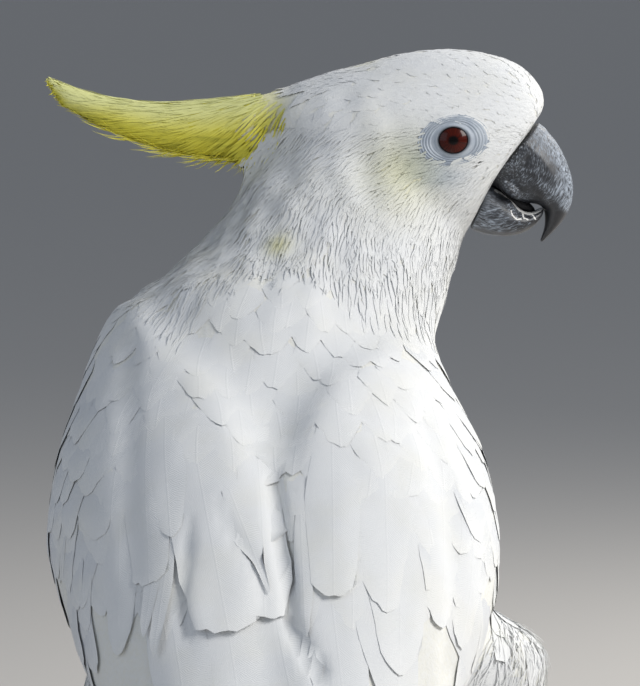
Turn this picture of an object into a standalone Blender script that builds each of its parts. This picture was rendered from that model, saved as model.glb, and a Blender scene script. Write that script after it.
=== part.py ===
"""A sulphur-crested cockatoo standing still, life size, its head turned to look past its right wing.

The breast faces +Y, the right wing is at +X and the floor is z = 0. Shapes are given in
millimetres and become metres as they are made. Each named piece of the bird is its own
closed solid. The trunk and neck are one form with a thin parting between them, the head
is lofted between a profile above and a profile below, and the folded wings are shells
over the trunk. Where two pieces would share space, one is carved back from the other.
"""

import math
from dataclasses import dataclass

import bmesh
import bpy
import numpy as np
from mathutils import Matrix, Vector

MM = 0.001
GAP = 0.3  # left between pieces that meet
FLOOR_DIP = 0.35  # how far soles and tail tip are modelled below the floor before the flat is cut

HEAD_PLANE_Y = 38.0  # the head's own plane of symmetry; the head looks along +X
RIGHT, LEFT = 1, -1
FLOOR, DOWN = Vector((0, 0, 0)), Vector((0, 0, -1))

EYE_X, EYE_Z = 62.8, 282.6
EYEBALL_RADIUS = 8.0
EYEBALL_DEPTH = 20.5  # from the head's plane to the eyeball's centre
LID_RADII = (7.4, 5.9)  # the middle of the bare eye ring, along the head and upright
LID_HALF_BREADTH = 2.4
LID_HALF_THICKNESS = 1.7
LID_DEPTH = 26.3
SOCKET_RADII = (5.7, 4.3)

FOOT_SPREAD = 30.0  # from the middle of the body to each foot
FOOT_Y = -10.0
ANKLE_Y, ANKLE_Z = -26.0, 33.0
SOLE_RADIUS = 6.4


@dataclass(frozen=True)
class BodySection:
    """One slice across the trunk or neck: its centre, lean and reach to the sides, back and breast."""

    x: float
    y: float
    z: float
    lean: float
    side: float
    back: float
    front: float

    def numbers(self):
        return (self.x, self.y, self.z, self.lean, self.side, self.back, self.front)


@dataclass(frozen=True)
class ProfileSection:
    """One slice across the head, bill or crest: its upper and lower point, and half its breadth."""

    top: tuple
    bottom: tuple
    half_breadth: float

    def numbers(self):
        return (*self.top, *self.bottom, self.half_breadth)


# From inside the head, down the neck and back, to the root of the tail.
NECK = (
    BodySection(34, 38, 290, 0, 20, 18, 18),
    BodySection(29.5, 38, 274, 2, 35, 28, 28),
    BodySection(23.5, 36, 254, 5, 43, 34, 35),
    BodySection(14.5, 33, 238, 10, 49, 40, 42),
)
TRUNK = (
    BodySection(3.5, 28, 224, 17, 56, 46, 51),
    BodySection(-2, 18, 200, 27, 54.5, 51, 60),
    BodySection(-1, 5, 173, 36, 61.5, 55, 67),
    BodySection(0, -16, 146, 42, 64.5, 55, 69),
    BodySection(2.5, -42, 120, 46, 58.5, 48, 60),
    BodySection(1, -72, 97, 50, 49, 35, 45),
    BodySection(0, -100, 78, 54, 37, 21, 29),
    BodySection(0, -121, 66, 57, 24, 12, 17),
)
BODY_STEPS = 2  # rings from one section to the next
BODY_SEGMENTS = 24
NECK_PARTING = 3.15  # where the neck is parted from the trunk, counted in sections

# The folded wing follows the trunk's own sections and then these, out over the tail.
WING_TIP = (
    BodySection(0, -124, 69, 57, 37, 18, 24),
    BodySection(0, -152, 57, 60, 31, 13, 18),
    BodySection(0, -188, 44, 63, 24, 9, 12),
    BodySection(0, -222, 32, 66, 15, 5, 7),
)
WING_FIRST = 3  # the body section that the first wing row belongs to
# Upper edge and lower edge, in degrees round from the middle of the back, and thickness.
WING_ROWS = (
    (66, 104, 3.0),
    (54, 112, 5.0),
    (40, 118, 7.5),
    (18, 120, 10.5),
    (7, 115, 13.5),
    (4, 106, 13.5),
    (4, 100, 11.5),
    (5, 106, 8.5),
    (7, 116, 6.0),
    (9, 116, 4.5),
    (12, 110, 3.4),
    (16, 100, 2.4),
)
WING_START = {LEFT: 4.0, RIGHT: 4.7}  # the raised left shoulder starts higher up the neck
WING_CLEARANCE = 1.9
SHOULDER_ROUNDING = 1.1  # how much of the wing its rounded front takes up, counted in sections
WING_STEPS_OUTER, WING_STEPS_INNER = 10, 8

HEAD = (
    ProfileSection((3, 299.5), (-2, 291), 7),
    ProfileSection((11, 303.5), (3, 275), 17),
    ProfileSection((27, 308.5), (16, 259), 24.5),
    ProfileSection((43, 313), (34, 249.5), 27.5),
    ProfileSection((58, 315), (52, 245.5), 27.5),
    ProfileSection((73, 313.6), (62, 246.5), 26),
    ProfileSection((84.5, 310), (67, 250), 23.5),
    ProfileSection((91.7, 303.6), (69.6, 255), 20.5),
    ProfileSection((95, 296.4), (71, 261), 17.5),
    ProfileSection((92.4, 290), (72.5, 266), 13),
)
HEAD_CROWN_NARROWING = 0.12
UPPER_BILL = (
    ProfileSection((86.5, 290.5), (68.5, 269.5), 12.6),
    ProfileSection((91.6, 288.4), (74.3, 267.4), 12.5),
    ProfileSection((97.6, 283.2), (79.6, 264.6), 12.1),
    ProfileSection((101.9, 275.6), (84.4, 261), 11.0),
    ProfileSection((104.3, 267.6), (89.2, 260.4), 9.4),
    ProfileSection((104, 261), (93.6, 259.2), 7.3),
    ProfileSection((101.6, 255.4), (94.5, 255.4), 5.0),
    ProfileSection((98, 251), (94.2, 251.4), 2.9),
    ProfileSection((93.6, 246.7), (92.6, 246.9), 0.8),
)
CERE_LENGTH = 1.55  # the cere's share of the upper bill, counted in sections
CERE_SWELL = 0.5
LOWER_BILL = (
    ProfileSection((67, 271.5), (62, 254), 10.5),
    ProfileSection((73.4, 268.6), (68.2, 251.4), 11.6),
    ProfileSection((79.2, 265), (73.6, 249.4), 11.8),
    ProfileSection((83, 262.2), (78.6, 248.8), 11.4),
    ProfileSection((85.8, 258.8), (83.2, 249.1), 10.4),
    ProfileSection((89, 257.6), (87.4, 250.3), 9.1),
    ProfileSection((91.8, 258.2), (91, 252.6), 7.2),
    ProfileSection((94.4, 259.8), (93.6, 256), 4.8),
)
CREST = (
    ProfileSection((22, 307.6), (14, 292), 8),
    ProfileSection((8, 303), (2, 283), 8.5),
    ProfileSection((-8.5, 299.2), (-9, 275), 7.5),
    ProfileSection((-26, 297), (-24, 273.8), 6),
    ProfileSection((-43.5, 296.4), (-41, 277), 4.6),
    ProfileSection((-61, 298.8), (-60, 284), 3.2),
    ProfileSection((-72, 302.3), (-73, 292.5), 2.0),
    ProfileSection((-79, 305.2), (-79.4, 302.6), 0.9),
)


@dataclass(frozen=True)
class TailSection:
    """One slice across the folded tail: where it is, half its breadth, its thickness and its arch."""

    y: float
    z: float
    half_breadth: float
    thickness: float
    arch: float

    def numbers(self):
        return (self.y, self.z, self.half_breadth, self.thickness, self.arch)


TAIL = (
    TailSection(-112, 69, 15, 8, 5),
    TailSection(-140, 55, 21, 6.5, 5),
    TailSection(-180, 38, 25, 4.8, 4),
    TailSection(-220, 21.5, 28, 3.6, 3),
    TailSection(-252, 8.8, 30, 2.8, 2.2),
    TailSection(-266, 3.0, 28.5, 2.4, 1.4),
    TailSection(-273, 1.0, 25, 2.2, 0.7),
    TailSection(-278, 0.65, 18, 2.0, 0.3),
)
TAIL_STEPS_ACROSS = 7

# Centre, and reach to the side and fore and aft, from the flank down to the ankle.
THIGH = {
    RIGHT: (
        (52, -6, 128, 12, 14),
        (61, -6, 118, 24, 25),
        (63, -5, 108, 31, 31),
        (61, -4, 94, 31.5, 32),
        (53, -6, 76, 29, 31),
        (42, -15, 56, 20, 23),
        (33, -23, 42, 11.5, 12.5),
        (30, ANKLE_Y, 34, 6.8, 7.2),
    ),
    LEFT: (
        (38, -4, 122, 10, 14),
        (42, -4, 110, 18, 24),
        (43, -3, 98, 22, 30),
        (43, -3, 84, 23, 30),
        (41, -8, 68, 21, 27),
        (36, -16, 52, 16, 20),
        (32, -23, 41, 10.5, 11.5),
        (30, ANKLE_Y, 34, 6.8, 7.2),
    ),
}

# Heading in degrees from straight ahead, turning outwards, and length to the claw.
TOES = {
    "inner_front": (-14, 27),
    "outer_front": (16, 38),
    "outer_hind": (152, 34),
    "inner_hind": (-166, 20),
}
# Share of the toe's length, height of its middle and radius, from the sole to just past its claw's root.
TOE_SHAPE = ((0.0, 6.2, 4.8), (0.3, 6.6, 4.3), (0.55, 5.0, 3.9), (0.8, 3.6, 3.8), (1.05, 3.0, 3.3))
# Distance past the toe's end, height of its middle and radius, along the claw.
CLAW_SHAPE = ((-1.0, 3.3, 2.3), (4.0, 5.3, 2.0), (8.0, 4.9, 1.5), (11.0, 2.9, 0.9), (12.4, 1.0, 0.4))


@dataclass(frozen=True)
class Finish:
    """A plain surface colour with its gloss."""

    colour: tuple
    roughness: float


FINISHES = {
    "white_plumage": Finish((0.86, 0.87, 0.86), 0.85),
    "yellow_plumage": Finish((0.84, 0.78, 0.2), 0.8),
    "bill_horn": Finish((0.1, 0.105, 0.12), 0.5),
    "cere_skin": Finish((0.09, 0.09, 0.1), 0.7),
    "eye_ring_skin": Finish((0.62, 0.68, 0.74), 0.55),
    "eye": Finish((0.13, 0.025, 0.015), 0.08),
    "leg_skin": Finish((0.13, 0.13, 0.14), 0.7),
    "claw_horn": Finish((0.06, 0.06, 0.065), 0.4),
}


def material(name):
    """The named finish as a material, made once."""
    made = bpy.data.materials.get(name)
    if made is None:
        made = bpy.data.materials.new(name)
        made.use_nodes = True
        shader = made.node_tree.nodes["Principled BSDF"]
        shader.inputs["Base Color"].default_value = (*FINISHES[name].colour, 1)
        shader.inputs["Roughness"].default_value = FINISHES[name].roughness
    return made


def flowing(rows, places):
    """The rows of numbers read at places, counted in rows, along a Catmull-Rom curve through them."""
    rows = np.array(rows, float)
    padded = np.vstack([2 * rows[0] - rows[1], rows, 2 * rows[-1] - rows[-2]])
    read = []
    for place in places:
        first = min(int(place), len(rows) - 2)
        t = place - first
        a, b, c, d = padded[first : first + 4]
        bend = (2 * a - 5 * b + 4 * c - d) * t**2
        twist = (3 * b - a - 3 * c + d) * t**3
        read.append(0.5 * (2 * b + (c - a) * t + bend + twist))
    return read


def numbers_of(sections):
    """The sections as rows of numbers."""
    return [section.numbers() for section in sections]


def body_point(row, angle, lift=0.0):
    """The point of a body slice at an angle round from the middle of the back, lifted outwards."""
    x, y, z, lean, side, back, front = row
    depth = back if math.cos(angle) > 0 else front
    across, along = side * math.sin(angle), depth * math.cos(angle)
    outward = Vector((math.sin(angle) / side, math.cos(angle) / depth)).normalized()
    across += lift * outward[0]
    along += lift * outward[1]
    tilt = math.radians(lean)
    return Vector((x + across, y - along * math.cos(tilt), z + along * math.sin(tilt)))


def profile_ring(row, segments, crown_narrowing=0.0):
    """The points round a head, bill or crest slice."""
    top, bottom = Vector((row[0], 0, row[1])), Vector((row[2], 0, row[3]))
    middle, rise = (top + bottom) / 2, (top - bottom) / 2
    ring = []
    for step in range(segments):
        angle = math.tau * step / segments
        breadth = row[4] * math.sin(angle) * (1 - crown_narrowing * math.cos(angle))
        ring.append(middle + rise * math.cos(angle) + Vector((0, HEAD_PLANE_Y + breadth, 0)))
    return ring


def new_object(name, mesh, finish):
    """An object of the bird, shaded smooth except over sharp edges."""
    made = bpy.data.objects.new(name, mesh)
    parts_collection().objects.link(made)
    mesh.materials.clear()
    mesh.materials.append(material(finish))
    mesh.shade_smooth()
    mesh.set_sharp_from_angle(angle=math.radians(50))
    return made


def named_collection(name):
    """A collection of the scene, made once."""
    made = bpy.data.collections.get(name)
    if made is None:
        made = bpy.data.collections.new(name)
        bpy.context.scene.collection.children.link(made)
    return made


def parts_collection():
    return named_collection("Cockatoo")


def loft(name, rings, finish):
    """A closed solid skinned over rings of points in millimetres."""
    form = bmesh.new()
    loops = []
    for ring in rings:
        loops.append([form.verts.new(point * MM) for point in ring])
    for one, other in zip(loops, loops[1:]):
        count = len(one)
        for i in range(count):
            form.faces.new((one[i], one[(i + 1) % count], other[(i + 1) % count], other[i]))
    form.faces.new(loops[0][::-1])
    form.faces.new(loops[-1])
    bmesh.ops.triangulate(form, faces=form.faces)  # twisted quads would otherwise divide either way
    if form.calc_volume(signed=True) < 0:
        bmesh.ops.reverse_faces(form, faces=form.faces)
    mesh = bpy.data.meshes.new(name)
    form.to_mesh(mesh)
    form.free()
    return new_object(name, mesh, finish)


def cutter_from(obj, gap=GAP):
    """A hidden copy of obj as it now stands, swollen outwards by gap."""
    graph = bpy.context.evaluated_depsgraph_get()
    mesh = bpy.data.meshes.new_from_object(obj.evaluated_get(graph))
    form = bmesh.new()
    form.from_mesh(mesh)
    bmesh.ops.triangulate(form, faces=form.faces)
    form.normal_update()
    shifts = [vert.normal * gap * MM * min(vert.calc_shell_factor(), 2.5) for vert in form.verts]
    for vert, shift in zip(form.verts, shifts):
        vert.co += shift
    form.to_mesh(mesh)
    form.free()
    return hidden_tool(f"room_for_{obj.name}", mesh)


def hidden_tool(name, mesh):
    """A cutter, kept out of the render in a collection of its own."""
    made = bpy.data.objects.new(name, mesh)
    named_collection("Cutters").objects.link(made)
    made.hide_render = True
    made.display_type = "WIRE"
    return made


def boolean(obj, tool, operation):
    """Applies one exact Boolean of tool to obj."""
    modifier = obj.modifiers.new(operation.title(), "BOOLEAN")
    modifier.operation = operation
    modifier.object = tool
    modifier.solver = "EXACT"
    graph = bpy.context.evaluated_depsgraph_get()
    graph.update()
    mesh = bpy.data.meshes.new_from_object(obj.evaluated_get(graph))
    obj.modifiers.remove(modifier)
    old = obj.data
    obj.data = mesh
    bpy.data.meshes.remove(old)


def carve(obj, *tools):
    """Cuts obj back from each of these swollen neighbours."""
    for tool in tools:
        boolean(obj, tool, "DIFFERENCE")


def cut_flat(obj, point, outward):
    """Cuts off what lies beyond a plane through point and closes the cut with a flat."""
    form = bmesh.new()
    form.from_mesh(obj.data)
    everything = form.verts[:] + form.edges[:] + form.faces[:]
    bmesh.ops.bisect_plane(form, geom=everything, plane_co=point * MM, plane_no=outward, clear_outer=True)
    bmesh.ops.holes_fill(form, edges=[edge for edge in form.edges if edge.is_boundary])
    bmesh.ops.recalc_face_normals(form, faces=form.faces)
    form.to_mesh(obj.data)
    form.free()


def body_solids():
    """The neck and the trunk, one form parted by a thin flat cut."""
    rows = numbers_of(NECK + TRUNK)
    last = len(rows) - 1

    def rings(start, end):
        even = np.arange(0, last * BODY_STEPS + 1) / BODY_STEPS
        inner = [place for place in even if start + 0.1 < place < end - 0.1]
        angles = [math.tau * step / BODY_SEGMENTS for step in range(BODY_SEGMENTS)]
        return [[body_point(row, angle) for angle in angles] for row in flowing(rows, [start, *inner, end])]

    half_cut = GAP / 36
    neck = loft("neck", rings(0, NECK_PARTING - half_cut), "white_plumage")
    trunk = loft("trunk", rings(NECK_PARTING + half_cut, last), "white_plumage")
    return neck, trunk


def wing_solid(name, side):
    """A folded wing: a shell over the trunk that thins out to the crossed flight feathers over the tail."""
    sections = numbers_of((NECK + TRUNK)[:-1] + WING_TIP)
    start = WING_START[side]
    places = np.linspace(start, len(sections) - 1, 17)
    edges = flowing(WING_ROWS, places - WING_FIRST)
    rings = []
    for place, section, (upper, lower, thickness) in zip(places, flowing(sections, places), edges):
        rounding = math.sqrt(1 - max(0.0, 1 - (place - start + 0.06) / SHOULDER_ROUNDING) ** 2)
        middle, reach = (upper + lower) / 2, (lower - upper) / 2 * (0.45 + 0.55 * rounding)
        ring = []
        for share in np.linspace(0, 1, WING_STEPS_OUTER):
            swell = 0.22 + 0.78 * math.sin(math.pi * (0.08 + 0.84 * share)) ** 0.7
            angle = math.radians(middle + reach * (2 * share - 1))
            lift = WING_CLEARANCE + max(1.2, thickness * swell * rounding)
            ring.append(body_point(section, side * angle, lift))
        for share in np.linspace(1, 0, WING_STEPS_INNER):
            angle = math.radians(middle + reach * (2 * share - 1) * 0.97)
            ring.append(body_point(section, side * angle, WING_CLEARANCE))
        rings.append(ring)
    return loft(name, rings, "white_plumage")


def profile_solid(name, sections, finish, count, segments, span=None, swell=0.0, crown_narrowing=0.0):
    """A head-like solid lofted through profile sections, or through the span of them asked for."""
    start, end = span or (0, len(sections) - 1)
    rings = []
    for row in flowing(numbers_of(sections), np.linspace(start, end, count)):
        ring = profile_ring(row, segments, crown_narrowing)
        middle = sum(ring, Vector()) / len(ring)
        rings.append([point + (point - middle).normalized() * swell for point in ring])
    return loft(name, rings, finish)


def ball(name, centre, radius, finish, segments=14, rings=9):
    """A sphere with its poles to the left and right."""
    bpy.ops.mesh.primitive_uv_sphere_add(segments=segments, ring_count=rings, radius=radius * MM)
    made = bpy.context.object
    turned = Matrix.Rotation(math.radians(90), 4, "X")
    made.data.transform(Matrix.Translation(centre * MM) @ turned)
    return adopted(made, name, finish)


def eye_ring(name, side):
    """The bare ring of skin round one eye."""
    bpy.ops.mesh.primitive_torus_add(
        major_radius=LID_RADII[0] * MM,
        minor_radius=LID_HALF_BREADTH * MM,
        major_segments=18,
        minor_segments=6,
    )
    made = bpy.context.object
    flat = Matrix.Diagonal((1, LID_RADII[1] / LID_RADII[0], LID_HALF_THICKNESS / LID_HALF_BREADTH, 1))
    turned = Matrix.Rotation(math.radians(90), 4, "X")
    # The skull narrows towards the bill and the crown, and the ring lies against it.
    lie = Matrix.Rotation(math.radians(side * 7), 4, "Z") @ Matrix.Rotation(math.radians(side * 5), 4, "X")
    place = Vector((EYE_X - 0.4, HEAD_PLANE_Y - side * LID_DEPTH, EYE_Z - 0.3)) * MM
    made.data.transform(Matrix.Translation(place) @ lie @ turned @ flat)
    return adopted(made, name, "eye_ring_skin")


def adopted(obj, name, finish):
    """A primitive made into a named piece of the bird, with its place in its mesh."""
    mesh = obj.data.copy()
    bpy.data.objects.remove(obj)
    mesh.name = name
    return new_object(name, mesh, finish)


def tail_solid():
    """The folded tail feathers as one arched, tapering plate that ends on the floor."""
    rings = []
    for y, z, half, thickness, arch in flowing(numbers_of(TAIL), np.linspace(0, len(TAIL) - 1, 15)):
        across = np.linspace(-1, 1, TAIL_STEPS_ACROSS)
        upper = [Vector((u * half, y, z - arch * u * u + thickness / 2)) for u in across]
        lower = [Vector((u * half * 0.98, y, z - arch * u * u - thickness / 2)) for u in across[::-1]]
        rings.append(upper + lower)
    made = loft("tail", rings, "white_plumage")
    cut_flat(made, FLOOR, DOWN)
    return made


def upright_ring(x, y, z, reach_x, reach_y, segments):
    """A level oval of points."""
    steps = [math.tau * step / segments for step in range(segments)]
    return [Vector((x + reach_x * math.cos(a), y + reach_y * math.sin(a), z)) for a in steps]


def thigh_solid(name, side):
    """The feathered thigh and shin, puffed out at the flank and gathered at the ankle."""
    rings = [
        upright_ring(side * x, y, z, reach_x, reach_y, 18)
        for x, y, z, reach_x, reach_y in flowing(THIGH[side], np.linspace(0, len(THIGH[side]) - 1, 12))
    ]
    return loft(name, rings, "white_plumage")


def tapered_tube(name, path, finish, resolution=2):
    """A closed solid along a curve: path gives points and radii."""
    curve = bpy.data.curves.new(name, "CURVE")
    curve.dimensions = "3D"
    curve.bevel_depth = MM
    curve.bevel_resolution = resolution
    curve.use_fill_caps = True
    spline = curve.splines.new("POLY")
    spline.points.add(len(path) - 1)
    for spot, (point, radius) in zip(spline.points, path):
        spot.co = (*(point * MM), 1)
        spot.radius = radius
    drawn = bpy.data.objects.new(name, curve)
    bpy.context.scene.collection.objects.link(drawn)
    graph = bpy.context.evaluated_depsgraph_get()
    form = bmesh.new()
    form.from_mesh(bpy.data.meshes.new_from_object(drawn.evaluated_get(graph)))
    bmesh.ops.remove_doubles(form, verts=form.verts, dist=0.01 * MM)
    mesh = bpy.data.meshes.new(name)
    form.to_mesh(mesh)
    form.free()
    bpy.data.objects.remove(drawn)
    return new_object(name, mesh, finish)


def shank_solid(name, side):
    """The bare scaled shank from the ankle to the sole."""
    ankle = Vector((side * FOOT_SPREAD, ANKLE_Y - 2, ANKLE_Z + 5))
    sole = Vector((side * FOOT_SPREAD, FOOT_Y, 7.5))
    shares = np.linspace(0, 1, 6)
    path = [(ankle.lerp(sole, share), 5.6 - 3.2 * share + 2.6 * share**2) for share in shares]
    return tapered_tube(name, path, "leg_skin", 3)


def toe_ahead(side, heading):
    """The level direction of a toe."""
    turn = math.radians(heading) * side
    return Vector((math.sin(turn), math.cos(turn), 0))


def toe_path(side, heading, shape):
    """Points and radii along a toe or claw, whose shape gives distance from the sole, height and radius."""
    centre = Vector((side * FOOT_SPREAD, FOOT_Y, 0))
    rows = flowing(shape, np.linspace(0, len(shape) - 1, 2 * len(shape) - 1))
    return [(centre + toe_ahead(side, heading) * row[0] + Vector((0, 0, row[1])), row[2]) for row in rows]


def foot_solids(word, side):
    """The sole with its four toes, two ahead and two behind, on small flats, and the curved claws."""
    middle = Vector((side * FOOT_SPREAD, FOOT_Y, SOLE_RADIUS - FLOOR_DIP))
    foot = ball(f"foot_{word}", middle, SOLE_RADIUS, "leg_skin")
    for toe, (heading, length) in TOES.items():
        ahead = toe_ahead(side, heading)
        joint = Vector((side * FOOT_SPREAD, FOOT_Y, 0)) + ahead * length
        toe_shape = [(share * length, height, radius) for share, height, radius in TOE_SHAPE]
        made = tapered_tube(f"toe_{word}_{toe}", toe_path(side, heading, toe_shape), "leg_skin")
        cut_flat(made, joint, ahead)
        boolean(foot, made, "UNION")
        bpy.data.objects.remove(made)
        claw_shape = [(length + distance, height, radius) for distance, height, radius in CLAW_SHAPE]
        claw = tapered_tube(f"claw_{word}_{toe}", toe_path(side, heading, claw_shape), "claw_horn", 1)
        cut_flat(claw, joint + ahead * GAP, -ahead)
    cut_flat(foot, FLOOR, DOWN)
    return foot


def socket_tool(name, side):
    """A hidden plug that opens the head in front of the eyeball."""
    bpy.ops.mesh.primitive_cylinder_add(vertices=16, radius=SOCKET_RADII[0] * MM, depth=12 * MM)
    made = bpy.context.object
    flat = Matrix.Diagonal((1, SOCKET_RADII[1] / SOCKET_RADII[0], 1, 1))
    turned = Matrix.Rotation(math.radians(90), 4, "X")
    place = Vector((EYE_X - 0.4, HEAD_PLANE_Y - side * (EYEBALL_DEPTH + 12), EYE_Z - 0.3)) * MM
    made.data.transform(Matrix.Translation(place) @ turned @ flat)
    mesh = made.data.copy()
    bpy.data.objects.remove(made)
    return hidden_tool(name, mesh)


def head_group():
    """The head, bill, eyes and crest, carved to meet. Returns room for the head, for its neighbours."""
    head = profile_solid("head", HEAD, "white_plumage", 18, 20, crown_narrowing=HEAD_CROWN_NARROWING)
    room_for_head = cutter_from(head)
    cere = profile_solid("cere", UPPER_BILL, "cere_skin", 4, 16, (0, CERE_LENGTH), CERE_SWELL)
    horn = (CERE_LENGTH + 0.06, len(UPPER_BILL) - 1)
    upper = profile_solid("bill_upper", UPPER_BILL, "bill_horn", 14, 16, horn)
    lower = profile_solid("bill_lower", LOWER_BILL, "bill_horn", 10, 16)
    crest = profile_solid("crest", CREST, "yellow_plumage", 16, 12)
    room_for_upper, room_for_cere = cutter_from(upper), cutter_from(cere)
    carve(cere, room_for_head)
    carve(lower, room_for_upper, room_for_cere, room_for_head)
    carve(crest, room_for_head)
    carve(upper, room_for_head)
    for side, word in ((RIGHT, "right"), (LEFT, "left")):
        centre = Vector((EYE_X, HEAD_PLANE_Y - side * EYEBALL_DEPTH, EYE_Z))
        eye = ball(f"eye_{word}", centre, EYEBALL_RADIUS, "eye")
        ring = eye_ring(f"eye_ring_{word}", side)
        room_for_eye, room_for_ring = cutter_from(eye), cutter_from(ring)
        carve(ring, room_for_eye)
        carve(head, room_for_ring, room_for_eye, socket_tool(f"socket_{word}", side))
    return room_for_head


def centre_over_floor():
    """Moves the whole bird level, so that its box stands centred over the origin."""
    meshes = [obj.data for obj in parts_collection().objects]
    spots = np.array([vert.co[:] for mesh in meshes for vert in mesh.vertices])
    middle = (spots.min(axis=0) + spots.max(axis=0)) / 2
    for mesh in meshes:
        mesh.transform(Matrix.Translation((-middle[0], -middle[1], 0)))


def main():
    for obj in list(bpy.data.objects):
        bpy.data.objects.remove(obj)
    room_for_head = head_group()
    neck, trunk = body_solids()
    room_for_neck, room_for_trunk = cutter_from(neck), cutter_from(trunk)
    carve(neck, room_for_head)
    carve(bpy.data.objects["crest"], room_for_neck)
    carve(bpy.data.objects["bill_lower"], room_for_neck)
    tail = tail_solid()
    carve(tail, room_for_trunk)
    for side, word in ((RIGHT, "right"), (LEFT, "left")):
        wing = wing_solid(f"wing_{word}", side)
        thigh = thigh_solid(f"thigh_{word}", side)
        carve(thigh, room_for_trunk, cutter_from(wing))
        foot = foot_solids(word, side)
        shank = shank_solid(f"shank_{word}", side)
        carve(shank, cutter_from(foot), cutter_from(thigh))
    centre_over_floor()


main()
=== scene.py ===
"""Looks of a sulphur-crested cockatoo that stands still with its head turned past its right wing.

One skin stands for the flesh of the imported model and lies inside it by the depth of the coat.
Feathers are closed vanes laid on the outer form: each starts below the coat, follows the lie
of the plumage and comes up to the form's own surface at its tip, over the roots of the next.
Places are in the bird's own millimetres: x across the body to its right wing, y the way the
breast faces, z up from the floor. The head's plane of symmetry is y = 38.
"""

import logging
import math
from dataclasses import dataclass, field, replace
from enum import Enum, IntEnum
from typing import Callable, Sequence

import bmesh
import bpy
import numpy as np
from mathutils import Matrix, Vector, noise
from mathutils.bvhtree import BVHTree
from mathutils.kdtree import KDTree


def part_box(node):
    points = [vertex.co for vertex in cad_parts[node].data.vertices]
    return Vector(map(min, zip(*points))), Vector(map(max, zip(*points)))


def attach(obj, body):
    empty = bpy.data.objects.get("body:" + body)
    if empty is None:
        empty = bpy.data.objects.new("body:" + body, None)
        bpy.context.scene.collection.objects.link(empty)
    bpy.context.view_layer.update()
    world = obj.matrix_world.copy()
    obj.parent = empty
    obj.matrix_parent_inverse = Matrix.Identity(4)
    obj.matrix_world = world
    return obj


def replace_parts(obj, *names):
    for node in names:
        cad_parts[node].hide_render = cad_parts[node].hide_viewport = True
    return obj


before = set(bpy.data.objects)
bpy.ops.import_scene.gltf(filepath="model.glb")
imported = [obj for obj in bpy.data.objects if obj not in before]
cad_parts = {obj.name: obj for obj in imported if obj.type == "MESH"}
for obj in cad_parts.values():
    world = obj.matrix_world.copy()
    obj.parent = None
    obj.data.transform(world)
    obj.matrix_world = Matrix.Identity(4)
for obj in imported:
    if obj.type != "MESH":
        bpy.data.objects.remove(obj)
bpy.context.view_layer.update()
LOG = logging.getLogger("cockatoo")
MM = 0.001
HEAD_PLANE = 38.0
OUTSIDE = 0.2  # metres, further from the body's middle than any of its surface
FORM_VOXEL = 1.8 * MM  # fineness of the form that the coat is laid on
Array = np.ndarray
Colour = tuple[float, float, float, float]


class Side(Enum):
    """The bird's left and right, with the sign of x on that side."""

    LEFT = -1
    RIGHT = 1

    @property
    def word(self) -> str:
        """The side's name as the nodes use it."""
        return self.name.lower()


class Seed(IntEnum):
    """Where the random numbers start for the places, the sizes and the lie of feathers."""

    CONTOUR_ROOTS = 11
    CONTOUR = 20
    SCAPULARS = 41
    COVERTS = 43
    SILK_ROOTS = 61
    SILK = 63
    TAIL = 70
    COVER_ROOTS = 71
    COVER_SIZES = 72
    COVER = 73
    FLUFF_ROOTS = 75
    FLUFF_SIZES = 76
    FLUFF = 77
    STRAND_ROOTS = 81
    STRAND_SIZES = 82
    STRANDS = 83
    LOOSE_STRANDS = 84
    FOOT_STRANDS = 85
    FOOT_ROOTS = 86
    QUILLS = 90
    TERTIALS = 120


def unit(vectors: Array) -> Array:
    """Scales rows of vectors to length one."""
    return vectors / np.maximum(np.linalg.norm(vectors, axis=-1, keepdims=True), 1e-12)


def smoothstep(low: float, high: float, value: Array) -> Array:
    """Runs from 0 at low to 1 at high along an S curve.

    Args:
        low: Where the step starts.
        high: Where the step ends.
        value: What is read.

    Returns:
        The step at each value.
    """
    share = np.clip((np.asarray(value, float) - low) / (high - low), 0, 1)
    return share * share * (3 - 2 * share)


class Bird:
    """Where the bird's own millimetres lie in the frame."""

    def __init__(self) -> None:
        """Finds the middle between the feet and the head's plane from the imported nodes."""
        left, right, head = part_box("foot_left"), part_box("foot_right"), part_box("head")
        middle_x = (left[0][0] + right[1][0]) / 2
        head_y = (head[0][1] + head[1][1]) / 2
        self.origin = np.array([middle_x, head_y - HEAD_PLANE * MM, 0.0])

    def world(self, places: Sequence) -> Array:
        """The bird's millimetres as metres in the frame."""
        return np.asarray(places, float) * MM + self.origin

    def own(self, spots: Array) -> Array:
        """Metres in the frame as the bird's millimetres."""
        return (np.asarray(spots, float) - self.origin) / MM


BIRD = Bird()


def yellow_at(points: Array) -> Array:
    """How yellow the coat is: on the cheek, at the crest's foot and at parted bases on the nape.

    Args:
        points: Places in the frame.

    Returns:
        From 0, white, to 1, yellow, at each point.
    """
    x, y, z = BIRD.own(points).T

    def near(a: float, b: float, c: float, reach: float) -> Array:
        """How near the points are to a place, from 0 to 1, falling over a reach."""
        return np.exp(-((x - a) ** 2 + (y - b) ** 2 + (z - c) ** 2) / reach**2)

    cheek = 0.42 * near(44, 12, 273, 13) + 0.42 * near(44, 64, 273, 13)
    crest_foot = smoothstep(9, -2, x) * (np.abs(y - HEAD_PLANE) < 11) * (z > 284)
    crown = 0.6 * near(29, 37, 309, 5) + 0.55 * crest_foot
    nape = 0.6 * near(2, 0, 247, 4.5) + 0.5 * near(35, 4, 234, 4)
    return np.clip(cheek + crown + nape, 0, 1)


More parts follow.
